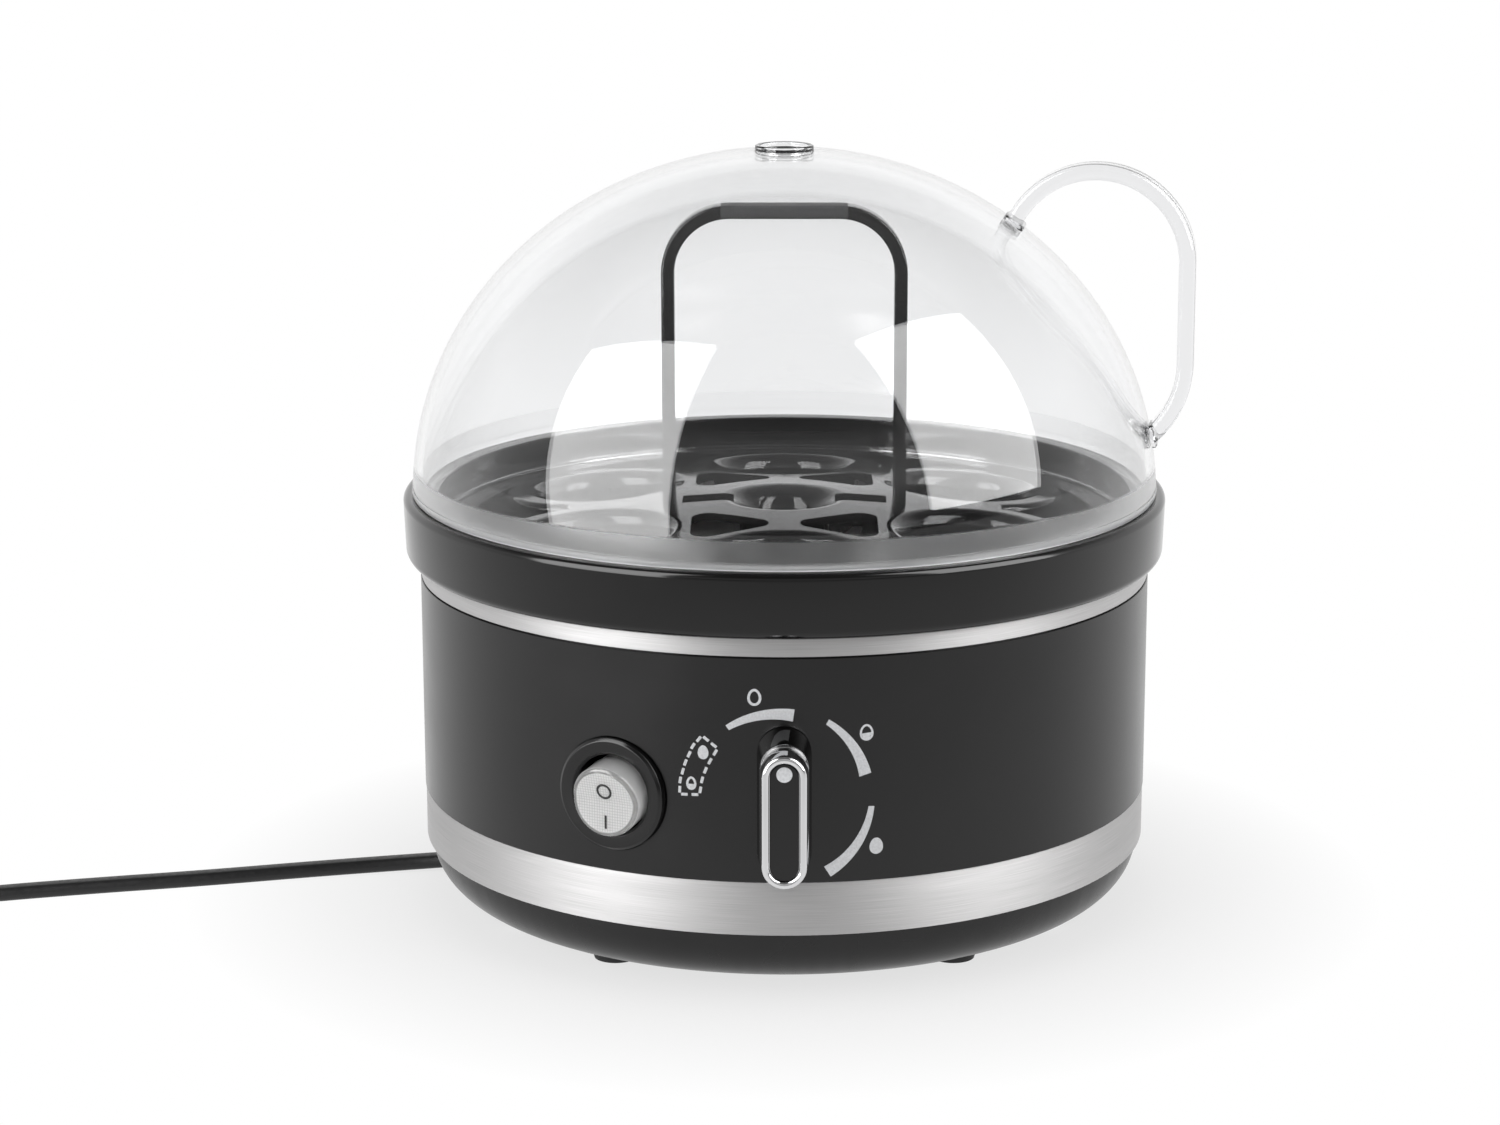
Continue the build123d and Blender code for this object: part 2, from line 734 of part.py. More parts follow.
def lid_handle():
    """The clear loop on the lid's right, with two feet and a peg through the dome at each."""
    line = grip_line()
    start = Plane(line @ 0, x_dir=(0, 1, 0), z_dir=line % 0)
    strap = sweep(start * RectangleRounded(grip_width, grip_thickness, grip_round), path=line)
    strap -= dome_form(0)
    strap = strap.solids().sort_by(SortBy.VOLUME)[-1]
    spread = 2 * grip_foot_margin
    pad = RectangleRounded(grip_width + spread, grip_thickness + spread, grip_round)
    peg = Circle(grip_peg_radius)
    for plane in foot_places():
        strap += extrude(plane * pad, amount=grip_foot_height) - dome_form(0)
        strap += extrude(plane * peg, amount=-dome_wall) + extrude(plane * peg, amount=grip_foot_height)
    return Rot(0, 0, grip_turn) * strap


def upright_slot(length, width):
    """A slot outline that stands upright on its plane."""
    return SlotOverall(length, width, rotation=90)


def shaft_outline(extra):
    """A round shaft with one flat."""
    radius = shaft_radius + extra
    cut = Pos(0, radius) * Rectangle(2 * radius, 2 * shaft_flat)
    return Circle(radius) - cut


def knob_core():
    """The black bar of the dial knob, tapering outwards from the body."""
    core = loft([dial_plane(knob_back) * upright_slot(knob_base_length, knob_base_width),
                 dial_plane(knob_back + knob_core_depth) * upright_slot(knob_face_length, knob_face_width)])
    return core - extrude(dial_plane(knob_back) * shaft_outline(shaft_clearance), amount=shaft_in_knob)


def knob_cap():
    """The chrome cap with a recess for the inlay."""
    back = knob_back + knob_core_depth
    cap = extrude(dial_plane(back) * upright_slot(knob_face_length, knob_face_width), amount=knob_cap_depth)
    front = cap.faces().sort_by(Axis.Y)[0]
    cap = fillet(front.edges(), knob_rim / 3)
    recess = upright_slot(knob_face_length - 2 * knob_rim, knob_face_width - 2 * knob_rim)
    return cap - extrude(dial_plane(back + knob_cap_depth - knob_recess) * recess, amount=2 * knob_recess)


def knob_inlay():
    """The black inlay in the cap, with a seat for the pointer dot."""
    back = knob_back + knob_core_depth + knob_cap_depth - knob_recess
    gap = knob_rim + inlay_clearance
    thickness = knob_recess - inlay_clearance
    inlay = extrude(dial_plane(back) * upright_slot(knob_face_length - 2 * gap, knob_face_width - 2 * gap),
                    amount=thickness)
    seat = Pos(0, dot_height) * Circle(dot_radius)
    return inlay - extrude(dial_plane(back + thickness - dot_sunk) * seat, amount=2 * dot_sunk)


def knob_dot():
    """The pale pointer dot in the inlay."""
    back = knob_back + knob_core_depth + knob_cap_depth - inlay_clearance - dot_sunk
    return extrude(dial_plane(back) * Pos(0, dot_height) * Circle(dot_radius), amount=dot_sunk)


def regulator_shaft():
    """The flatted shaft from the regulator into the knob."""
    inner = dial_pad_face - shaft_in_regulator
    seat = knob_back
    shaft = drum(dial_plane(inner), shaft_radius, seat - inner)
    return shaft + extrude(dial_plane(seat) * shaft_outline(0), amount=shaft_in_knob)


def regulator():
    """The timing regulator: plate, case and threaded bushing."""
    front = dial_pad_face
    plate_back = front - regulator_plate_thickness
    plate = extrude(dial_plane(plate_back) * plate_outline(), amount=regulator_plate_thickness)
    case_outline = RectangleRounded(regulator_width, regulator_height, plate_corner)
    case = extrude(dial_plane(plate_back) * case_outline, amount=-regulator_depth)
    bushing = drum(dial_plane(front), bushing_radius, dial_pad_depth - knob_gap)
    solid = plate + case + bushing
    for side in (-1, 1):
        hole = Pos(side * dial_screw_spacing / 2, 0) * Circle(dial_screw_radius + screw_clearance)
        solid -= extrude(dial_plane(plate_back) * hole, amount=regulator_plate_thickness)
    bore = shaft_in_regulator + shaft_clearance
    return solid - drum(dial_plane(front - bore), shaft_radius + shaft_clearance, bore + dial_pad_depth)


def regulator_screws():
    """Two screws that hold the regulator's plate to the sleeve."""
    seat = dial_pad_face - regulator_plate_thickness
    screws = []
    for side in (-1, 1):
        place = Pos(side * dial_screw_spacing / 2, 0)
        head = extrude(dial_plane(seat) * place * Circle(dial_screw_head), amount=-dial_screw_radius)
        shank = extrude(dial_plane(seat) * place * Circle(dial_screw_radius),
                        amount=regulator_plate_thickness + dial_screw_bite)
        screws.append(head + shank)
    return screws


def blades(plane, count):
    """Flat contact blades that stand inwards from the back of a case."""
    found = []
    for number in range(count):
        place = Pos(0, (number - (count - 1) / 2) * blade_spacing)
        found.append(extrude(plane * place * Rectangle(blade_width, blade_thickness), amount=-blade_length))
    return found


def regulator_terminals():
    """The regulator's contact blades."""
    return blades(dial_plane(dial_pad_face - regulator_plate_thickness - regulator_depth), 4)


def outermost(solid):
    """The flat face of a solid that lies furthest from the body's middle."""
    return max(solid.faces().filter_by(GeomType.PLANE), key=lambda face: Vector(*face.center()).length)


def switch_frame():
    """The switch's bezel and barrel in one moulding."""
    flange = Circle(bezel_radius) - Circle(bezel_opening)
    bezel = extrude(switch_plane(bezel_seat) * flange, amount=bezel_thickness)
    outer_rim = outermost(bezel).edges().sort_by(SortBy.LENGTH)[-1]
    bezel = fillet(outer_rim, bezel_thickness / 3)
    inner_back = bezel_front - barrel_depth
    barrel = extrude(switch_plane(inner_back) * (Circle(barrel_radius) - Circle(bezel_opening)),
                     amount=barrel_depth - bezel_thickness)
    back = drum(switch_plane(inner_back - barrel_wall), barrel_radius, barrel_wall)
    pivot = switch_plane(bezel_front - pivot_depth)
    hole = Cylinder(pivot_radius + pivot_clearance, 2 * barrel_radius + barrel_wall, rotation=(0, 90, 0))
    return bezel + barrel + back - pivot.location * hole


def switch_terminals():
    """The switch's contact blades."""
    return blades(switch_plane(bezel_front - barrel_depth - barrel_wall), 3)


def pilot_lamp():
    """The small lamp that lights the rocker, on the barrel's back wall."""
    lamp = drum(switch_plane(bezel_front - barrel_depth), lamp_radius, lamp_length)
    return fillet(outermost(lamp).edges(), lamp_radius / 2)


def rocker_place():
    """The rocker's pivot, with the upper half tilted outwards as at rest."""
    return switch_plane(bezel_front - pivot_depth).location * Rot(rocker_angle, 0, 0)


def rocker_lens():
    """The clear rocker cap: two facets that meet in a shallow valley."""
    rise = lens_radius * tan(radians(rocker_angle))
    outline = Polyline((-lens_radius, lens_base), (lens_radius, lens_base), (lens_radius, lens_valley + rise),
                       (0, lens_valley), (-lens_radius, lens_valley + rise), close=True)
    bar = extrude(Plane.YZ * make_face(outline.edges()), amount=lens_radius, both=True)
    lens = bar & post(lens_radius, 0, 2 * lens_valley)
    return rocker_place() * lens


def rocker_carrier():
    """The white carrier under the cap, with its two pivots."""
    disc = post(carrier_radius, -carrier_below, lens_base)
    pivots = Cylinder(pivot_radius, 2 * barrel_radius, rotation=(0, 90, 0))
    return rocker_place() * (disc + pivots)


def buzzer():
    """The signal buzzer on the pan's floor."""
    case = post(buzzer_radius, well_floor, well_floor + buzzer_height)
    case = fillet(ring_edge(case, buzzer_radius, well_floor + buzzer_height), buzzer_height / 8)
    mouth = post(buzzer_radius / 6, well_floor + buzzer_height / 2, well_floor + 2 * buzzer_height)
    return around(buzzer_angle, buzzer_circle) * (case - mouth)


def block_screw_places():
    """Where the terminal block's screws stand."""
    step = block_length / block_screws
    return [Pos(block_place, (number - (block_screws - 1) / 2) * step, 0) for number in range(block_screws)]


def terminal_block():
    """The block inside the hub where the lead joins the inner wiring."""
    block = Pos(block_place, 0, pan_floor) * Box(block_width, block_length, block_height, align=LOW)
    top = pan_floor + block_height
    for place in block_screw_places():
        block -= place * post(block_screw_radius, top - block_screw_depth, top)
        block -= place * Pos(0, 0, top - block_height / 2 - block_screw_depth / 2) * Cylinder(
            block_screw_radius * 0.7, 2 * block_width, rotation=(0, 90, 0))
    return block


def terminal_screws():
    """The clamping screws of the terminal block."""
    top = pan_floor + block_height
    screw = post(block_screw_radius, top - block_screw_depth, top - block_screw_depth / 2)
    return [place * screw for place in block_screw_places()]


def strain_relief():
    """The tapered sleeve that grips the hub's wall and the lead."""
    outer = facing(outlet_angle, hub_radius, outlet_height)
    end = facing(outlet_angle, hub_radius + relief_length, outlet_height)
    inner = facing(outlet_angle, outlet_wall, outlet_height)
    taper = loft([outer * SlotOverall(relief_width, relief_height),
                  end * SlotOverall(cord_width + relief_lip, cord_thickness + relief_lip)])
    lip = extrude(inner * SlotOverall(relief_width, relief_height), amount=-relief_lip)
    neck_start = facing(outlet_angle, outlet_wall - relief_lip, outlet_height)
    neck = SlotOverall(relief_neck_width, relief_neck_height)
    neck = extrude(neck_start * neck, amount=pan_wall + 2 * relief_lip)
    hub_wall = ring(hub_radius, outlet_wall, pan_bottom, well_floor)
    return taper + lip - hub_wall + neck


def cord_route():
    """The lead's points from the strain relief to its coil, along the floor outside."""
    floor = floor_gap + cord_thickness / 2
    exit_point = facing(outlet_angle, hub_radius + relief_length, outlet_height).origin
    dip_start = facing(outlet_angle, 64, outlet_height).origin
    dip_end = facing(outlet_angle, 79, floor + 1.6).origin
    outside = [(-96, 9.4), (-120, 3.6), (-147, -3.8), (-172, -9.4), (-200, -16.6), (-224, -25.6)]
    coil_edge = Vector(coil_centre[0], coil_centre[1] - coil_turn_radius, floor + coil_bottom)
    return [exit_point, dip_start, dip_end, *[Vector(x, y, floor) for x, y in outside], coil_edge]


def bend_radii(points):
    """The largest arc that each corner's two runs allow."""
    found = []
    for before, here, after in zip(points, points[1:], points[2:]):
        run_in = here - before
        run_out = after - here
        turn = radians(run_in.get_angle(run_out))
        found.append(0.45 * min(run_in.length, run_out.length) / tan(turn / 2))
    return found


def lead_section(start, direction):
    """The flat two-core section, lying flat across a direction."""
    sideways = Vector(-direction.Y, direction.X, 0).normalized()
    return Plane(start, x_dir=sideways, z_dir=direction) * SlotOverall(cord_width, cord_thickness)


def mains_cord():
    """The lead from the strain relief to the coil."""
    points = cord_route()
    radii = bend_radii(points)
    path = FilletPolyline(*points, radius=radii)
    cord = sweep(lead_section(path @ 0, path % 0), path=path)
    area = SlotOverall(cord_width, cord_thickness).area
    print("lead bend radii", [round(radius) for radius in radii])
    print("lead volume share", round(cord.volume / (area * path.length), 4), "length", round(path.length, 1))
    return cord


def coil_place():
    """The middle of the put-away coil on the floor."""
    return Pos(coil_centre[0], coil_centre[1], 0)


def cord_coil():
    """The outer form of the put-away coil."""
    return coil_place() * ring(coil_outer_radius, coil_inner_radius, coil_bottom, coil_top)


def coil_tie():
    """The strap that holds the coil's turns together."""
    length = coil_outer_radius - coil_inner_radius + 2 * tie_clearance
    bow = coil_outer_radius - sqrt(coil_outer_radius ** 2 - tie_width ** 2 / 4)
    height = coil_height + 2 * tie_clearance
    middle = (coil_outer_radius + coil_inner_radius) / 2
    loop = Rectangle(length + 2 * bow + 2 * tie_thickness, height + 2 * tie_thickness)
    hole = Rectangle(length + 2 * bow, height)
    strap = extrude(Plane.XZ * (loop - hole), amount=tie_width / 2, both=True)
    return coil_place() * Rot(0, 0, tie_angle) * Pos(middle, 0, (coil_bottom + coil_top) / 2) * strap


def plug_plane(distance):
    """The plane across the plug at a distance past its cord end."""
    side = coil_centre[0] - coil_turn_radius
    start = Vector(side, coil_centre[1] + plug_offset + distance, plug_thickness / 2)
    return Plane(start, x_dir=(-1, 0, 0), z_dir=(0, 1, 0))


def cord_tail():
    """The short end of the lead from the coil into the plug."""
    return extrude(plug_plane(-plug_offset) * SlotOverall(cord_width, cord_thickness), amount=plug_offset)


def plug_outline(width, thickness):
    """A flat six-sided outline, as on a small two-pin plug."""
    corner = thickness / 2
    half = width / 2
    return make_face(Polyline((-half, 0), (-half + corner, -thickness / 2), (half - corner, -thickness / 2),
                              (half, 0), (half - corner, thickness / 2), (-half + corner, thickness / 2),
                              close=True).edges())


def plug_body():
    """The flat two-pin plug, tapering to the lead."""
    shoulder = plug_length / 2
    face = plug_outline(plug_width, plug_thickness)
    neck = loft([plug_plane(0) * plug_outline(plug_neck_width, plug_neck_thickness),
                 plug_plane(shoulder) * face], ruled=True)
    head = extrude(plug_plane(shoulder) * face, amount=plug_length - shoulder)
    plug = neck + head
    for side in (-1, 1):
        hole = Pos(side * pin_spacing / 2, 0) * Circle(pin_radius)
        plug -= extrude(plug_plane(plug_length - pin_sunk) * hole, amount=2 * pin_sunk)
    return plug


def pin_pieces(start, length):
    """A stretch of both pins."""
    found = []
    for side in (-1, 1):
        place = Pos(side * pin_spacing / 2, 0)
        found.append(extrude(plug_plane(start) * place * Circle(pin_radius), amount=length))
    return found


def plug_pin_sleeves():
    """The insulated roots of the pins."""
    return pin_pieces(plug_length - pin_sunk, pin_sunk + pin_sleeve_length)


def plug_pins():
    """The bare, round-ended tips of the pins."""
    tips = pin_pieces(plug_length + pin_sleeve_length, pin_length - pin_sleeve_length)
    return [fillet(tip.faces().sort_by(Axis.Y)[-1].edges(), pin_radius / 2) for tip in tips]


pieces = {
    "base_pan": base_pan(),
    "rubber_feet": rubber_feet(),
    "base_screws": base_screws(),
    "body_sleeve": body_sleeve(),
    "lower_steel_band": lower_steel_band(),
    "upper_steel_band": upper_steel_band(),
    "collar": collar(),
    "bowl_gasket": bowl_gasket(),
    "heating_bowl": heating_bowl(),
    "heating_element": heating_element(),
    "reflector_dish": reflector_dish(),
    "bowl_studs": bowl_studs(),
    "stud_nuts": stud_nuts(),
    "thermostat": thermostat(),
    "thermostat_spring": thermostat_spring(),
    "regulator": regulator(),
    "regulator_screws": regulator_screws(),
    "regulator_terminals": regulator_terminals(),
    "switch_frame": switch_frame(),
    "switch_terminals": switch_terminals(),
    "pilot_lamp": pilot_lamp(),
    "buzzer": buzzer(),
    "terminal_block": terminal_block(),
    "terminal_screws": terminal_screws(),
    "strain_relief": strain_relief(),
    "mains_cord": mains_cord(),
    "cord_coil": cord_coil(),
    "coil_tie": coil_tie(),
    "cord_tail": cord_tail(),
    "plug_body": plug_body(),
    "plug_pin_sleeves": plug_pin_sleeves(),
    "plug_pins": plug_pins(),
    "egg_tray": egg_tray(),
    "tray_handle": tray_handle(),
    "lid_dome": lid_dome(),
    "lid_handle": lid_handle(),
    "knob_core": knob_core(),
    "knob_cap": knob_cap(),
    "knob_inlay": knob_inlay(),
    "knob_dot": knob_dot(),
    "regulator_shaft": regulator_shaft(),
    "rocker_lens": rocker_lens(),
    "rocker_carrier": rocker_carrier(),
}

os.makedirs("parts", exist_ok=True)
for name, piece in pieces.items():
    shape = Compound(children=piece) if isinstance(piece, list) else piece
    export_step(shape, f"parts/{name}.step")
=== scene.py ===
"""Finishes an egg cooker round its fixed frame: surfaces, prints, clear lid, lead and studio."""

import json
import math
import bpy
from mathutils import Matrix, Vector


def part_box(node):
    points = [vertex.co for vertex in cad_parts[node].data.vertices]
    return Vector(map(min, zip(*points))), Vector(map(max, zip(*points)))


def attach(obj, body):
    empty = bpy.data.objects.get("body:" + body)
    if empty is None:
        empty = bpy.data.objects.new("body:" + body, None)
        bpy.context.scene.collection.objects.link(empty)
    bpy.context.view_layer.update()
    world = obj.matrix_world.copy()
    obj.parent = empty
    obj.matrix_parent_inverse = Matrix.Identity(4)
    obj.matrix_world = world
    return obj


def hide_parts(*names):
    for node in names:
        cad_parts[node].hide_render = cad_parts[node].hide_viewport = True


bl_info = {
    "name": "Egg cooker",
    "version": (1, 0, 0),
    "blender": (4, 5, 0),
    "location": "3D View > Sidebar > Egg cooker",
    "description": "Builds the finished pieces of an egg cooker round its fixed frame",
    "category": "Object",
}

import bmesh
import bpy
from bpy.props import FloatProperty, FloatVectorProperty, IntProperty, PointerProperty
from mathutils import Matrix, Vector

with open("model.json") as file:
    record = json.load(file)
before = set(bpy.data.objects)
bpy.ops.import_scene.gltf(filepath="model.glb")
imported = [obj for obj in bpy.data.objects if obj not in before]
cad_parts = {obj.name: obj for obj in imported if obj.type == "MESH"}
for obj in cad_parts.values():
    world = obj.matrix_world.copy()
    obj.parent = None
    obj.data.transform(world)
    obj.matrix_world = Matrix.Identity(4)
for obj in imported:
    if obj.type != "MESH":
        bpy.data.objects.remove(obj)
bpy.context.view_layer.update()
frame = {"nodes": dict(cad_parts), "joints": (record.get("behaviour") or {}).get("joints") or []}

MM = 0.001

# Levels and radii read from the frame
collar_low, collar_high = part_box("collar")
band_low, band_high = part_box("lower_steel_band")
upper_low, upper_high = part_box("upper_steel_band")
sleeve_low, sleeve_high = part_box("body_sleeve")
dome_low, dome_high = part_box("lid_dome")
loop_low, loop_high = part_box("tray_handle")
core_low, core_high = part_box("knob_core")
cap_low, cap_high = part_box("knob_cap")
inlay_low, inlay_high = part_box("knob_inlay")
dot_low, dot_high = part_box("knob_dot")
coil_low, coil_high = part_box("cord_coil")
tail_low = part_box("cord_tail")[0]
plug_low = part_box("plug_body")[0]

BODY_RADIUS = sleeve_high.x
BAND_RADIUS = band_high.x
COLLAR_TOP = collar_high.z


def joint(name):
    """The frame's joint of that name."""
    return next(found for found in frame["joints"] if found["name"] == name)


DIAL = Vector(joint("knob_turn")["pos_m"])
SWITCH_PIVOT = Vector(joint("rocker_tilt")["pos_m"])


# Sizes and colours that a user would change

def length(name, description, default):
    """A length property, its default in millimetres."""
    return FloatProperty(name=name, description=description, default=default * MM, unit="LENGTH", precision=5)


def colour(name, description, default):
    """A colour property."""
    return FloatVectorProperty(name=name, description=description, default=default, subtype="COLOR",
                               size=3, min=0.0, max=1.0)


class CookerSizes(bpy.types.PropertyGroup):
    """Sizes of the finished pieces."""

    segments: IntProperty(name="Segments", description="Facets round a turned piece", default=192, min=32)
    dome_radius: length("Dome radius", "Radius of the lid at its rim", 91.5)
    dome_wall: length("Dome wall", "Thickness of the clear lid", 2.2)
    rim_lip: length("Rim", "Height of the lid's thick rim", 2.0)
    rim_ledge: length("Rim ledge", "How far the inner ledge lies above the lid's rim", 0.45)
    frosted: length("Frosted band", "Height of the frosted band at the lid's rim", 7.0)
    vent_radius: length("Vent", "Inner radius of the vent tube", 5.9)
    vent_wall: length("Vent wall", "Wall of the vent tube", 1.25)
    vent_rise: length("Vent rise", "How far the vent tube stands out of the dome", 1.0)
    vent_tube: length("Vent tube", "Length of the vent tube", 4.6)
    loop_bar: length("Loop bar", "Thickness of the tray's loop", 3.2)
    loop_depth: length("Loop depth", "Depth of the tray's loop", 8.0)
    loop_corner: length("Loop corner", "Bend of the tray's loop", 15.0)
    grip_width: length("Grip width", "Width of the lid's handle", 8.0)
    grip_thickness: length("Grip thickness", "Thickness of the lid's handle", 4.0)
    knob_rim: length("Knob rim", "Width of the knob's bright rim", 1.7)
    knob_skirt: length("Knob skirt", "How far the bright cap reaches back over the knob's core", 4.0)
    bezel_radius: length("Bezel", "Outer radius of the switch's bezel", 13.35)
    bezel_opening: length("Bezel opening", "Inner radius of the switch's bezel", 9.35)
    lens_radius: length("Lens", "Radius of the rocker's lens", 8.5)
    print_lift: length("Print", "Thickness of the print on the body", 0.04)
    cord_width: length("Cord width", "Width of the flat lead", 5.6)
    cord_thickness: length("Cord thickness", "Thickness of the flat lead", 3.4)


class CookerColours(bpy.types.PropertyGroup):
    """Colours of the finished pieces."""

    gloss: colour("Gloss black", "Collar, tray and loop", (0.0024, 0.0022, 0.0022))
    drum: colour("Drum black", "Body, base and switch frame", (0.0034, 0.0032, 0.0033))
    steel: colour("Steel", "Brushed bands", (0.57, 0.565, 0.565))
    chrome: colour("Chrome", "Bright rim of the knob", (0.82, 0.82, 0.83))
    clear: colour("Clear", "Lid", (0.985, 0.988, 0.992))
    handle: colour("Clear handle", "Handle of the lid", (0.87, 0.872, 0.88))
    mark: colour("Print", "Marks on the body and the pointer dot", (0.83, 0.84, 0.86))
    rubber: colour("Rubber", "Feet, lead and plug", (0.014, 0.014, 0.0145))


def sizes():
    """The scene's sizes."""
    return bpy.context.scene.egg_cooker_sizes


def colours():
    """The scene's colours."""
    return bpy.context.scene.egg_cooker_colours


# Outlines

def rounded(corners, closed=True, steps=6):
    """Points along (x, y, rounding) corners, each with its own rounding, or none."""
    points = []
    for index, (x, y, rounding) in enumerate(corners):
        here = Vector((x, y))
        end = not closed and index in (0, len(corners) - 1)
        if end or not rounding:
            points.append(here)
            continue
        before = (Vector(corners[index - 1][:2]) - here).normalized()
        after = (Vector(corners[(index + 1) % len(corners)][:2]) - here).normalized()
        half = before.angle(after) / 2
        centre = here + (before + after).normalized() * (rounding / math.sin(half))
        first = here + before * (rounding / math.tan(half)) - centre
        last = here + after * (rounding / math.tan(half)) - centre
        sweep = first.angle(last)
        for step in range(steps + 1):
            share = step / steps
            arm = first * math.sin((1 - share) * sweep) + last * math.sin(share * sweep)
            points.append(centre + arm / math.sin(sweep))
    return points


def arc(centre, width, height, start, end, steps):
    """Points of an ellipse with these half axes, from one angle to another."""
    points = []
    for step in range(steps + 1):
        angle = start + (end - start) * step / steps
        points.append(Vector((centre[0] + width * math.cos(angle), centre[1] + height * math.sin(angle))))
    return points


def slot_outline(tall, width, steps=16):
    """A slot's outline that stands upright, running round from its right side."""
    straight, radius = (tall - width) / 2, width / 2
    upper = arc((0.0, straight), radius, radius, 0.0, math.pi, steps)
    lower = arc((0.0, -straight), radius, radius, math.pi, 2 * math.pi, steps)
    return upper + lower


def box_outline(width, height, rounding, steps=4):
    """A rectangle's outline with rounded corners, centred."""
    x, y = width / 2, height / 2
    return rounded([(-x, -y, rounding), (x, -y, rounding), (x, y, rounding), (-x, y, rounding)], steps=steps)


def egg_outline(width, height, steps=40):
    """An egg's outline, fuller at its lower end."""
    points = []
    for step in range(steps):
        angle = 2 * math.pi * step / steps
        lift = math.sin(angle)
        points.append(Vector((width / 2 * math.cos(angle) * (1 - 0.10 * lift), height / 2 * lift)))
    return points


def plug_form(radius, low, high):
    """The outline of a plain round plug."""
    return [Vector((0, low)), Vector((radius, low)), Vector((radius, high)), Vector((0, high))]


# Meshes

def to_object(name, bm, sharp=32.0):
    """Turns a bmesh into a smooth object with sharp edges above an angle."""
    mesh = bpy.data.meshes.new(name)
    bm.to_mesh(mesh)
    bm.free()
    mesh.shade_smooth()
    mesh.set_sharp_from_angle(angle=math.radians(sharp))
    made = bpy.data.objects.new(name, mesh)
    bpy.context.scene.collection.objects.link(made)
    return made


def bridge(bm, low, high):
    """Adds the faces between two rings of equal length."""
    made = []
    for index in range(len(low)):
        after = (index + 1) % len(low)
        made.append(bm.faces.new((low[index], low[after], high[after], high[index])))
    return made


def turned(name, points, place=None, segments=None, sharp=32.0):
    """A closed (radius, height) outline turned about the vertical axis, with a UV map in metres."""
    count = segments or sizes().segments
    bm = bmesh.new()
    uv = bm.loops.layers.uv.new("surface")
    girth = 2 * math.pi * max(point[0] for point in points)
    turns = [2 * math.pi * step / count for step in range(count)]
    rings = []
    for radius, height in points:
        ring = [(radius * math.cos(turn), radius * math.sin(turn), height) for turn in turns]
        rings.append([bm.verts.new(point) for point in ring])
    run = 0.0
    for index, point in enumerate(points):
        after = (index + 1) % len(points)
        next_run = run + (points[after] - point).length
        for step, face in enumerate(bridge(bm, rings[index], rings[after])):
            corners = ((step, run), (step + 1, run), (step + 1, next_run), (step, next_run))
            for loop, (across, along) in zip(face.loops, corners):
                loop[uv].uv = (across / count * girth, along)
        run = next_run
    bmesh.ops.remove_doubles(bm, verts=bm.verts, dist=1e-7)
    bmesh.ops.recalc_face_normals(bm, faces=bm.faces)
    if place:
        bm.transform(place)
    return to_object(name, bm, sharp)


def lofted(name, rings, sharp=32.0):
    """A closed skin through rings of equal length, with flat ends."""
    bm = bmesh.new()
    made = [[bm.verts.new(point) for point in ring] for ring in rings]
    for low, high in zip(made, made[1:]):
        bridge(bm, low, high)
    bm.faces.new(reversed(made[0]))
    bm.faces.new(made[-1])
    bmesh.ops.remove_doubles(bm, verts=bm.verts, dist=1e-7)
    bmesh.ops.recalc_face_normals(bm, faces=bm.faces)
    return to_object(name, bm, sharp)


def swept(name, path, section, sideways, sharp=40.0):
    """A section carried along a path. Its first axis points sideways, and its second across the path."""
    rings = []
    for index, point in enumerate(path):
        before = path[max(index - 1, 0)]
        after = path[min(index + 1, len(path) - 1)]
        heading = (after - before).normalized()
        side = sideways(heading)
        across = heading.cross(side).normalized()
        rings.append([point + side * x + across * y for x, y in section])
    made = lofted(name, rings, sharp)
    map_along(made, path, section)
    return made


def map_along(made, path, section):
    """A UV map in metres along a swept piece: first along its path, then round its section."""
    mesh = made.data
    uv = mesh.uv_layers.new(name="surface")
    count = len(section)
    runs = [0.0]
    for before, after in zip(path, path[1:]):
        runs.append(runs[-1] + (after - before).length)
    girth = sum((section[step] - section[step - 1]).length for step in range(count)) / count
    for polygon in mesh.polygons:
        vertices = [mesh.loops[loop].vertex_index for loop in polygon.loop_indices]
        steps = [vertex % count for vertex in vertices]
        seam = max(steps) - min(steps) > 1
        for loop, vertex, step in zip(polygon.loop_indices, vertices, steps):
            round_step = step + count if seam and step == 0 else step
            uv.data[loop].uv = (runs[min(vertex // count, len(runs) - 1)], round_step * girth)


def forward(heading):
    """The direction of depth, for sections in an upright plane that faces the front."""
    return Vector((0.0, 1.0, 0.0))


def joined(name, objects):
    """One object from several, with each one's faces as they are."""
    bm = bmesh.new()
    for made in objects:
        bm.from_mesh(made.data)
        bpy.data.objects.remove(made)
    return to_object(name, bm)


def settled_mesh(made):
    """Replaces an object's mesh by its evaluated one and drops its modifiers."""
    graph = bpy.context.evaluated_depsgraph_get()
    mesh = bpy.data.meshes.new_from_object(made.evaluated_get(graph))
    made.modifiers.clear()
    made.data = mesh
    return made


def finish(made, material, body, slot, *nodes):
    """Gives a piece its material and its body, and hides the frame nodes that it stands for. The slot is not
    used.
    """
    made.data.materials.clear()
    made.data.materials.append(material)
    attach(made, body)
    if nodes:
        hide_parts(*nodes)
    return made


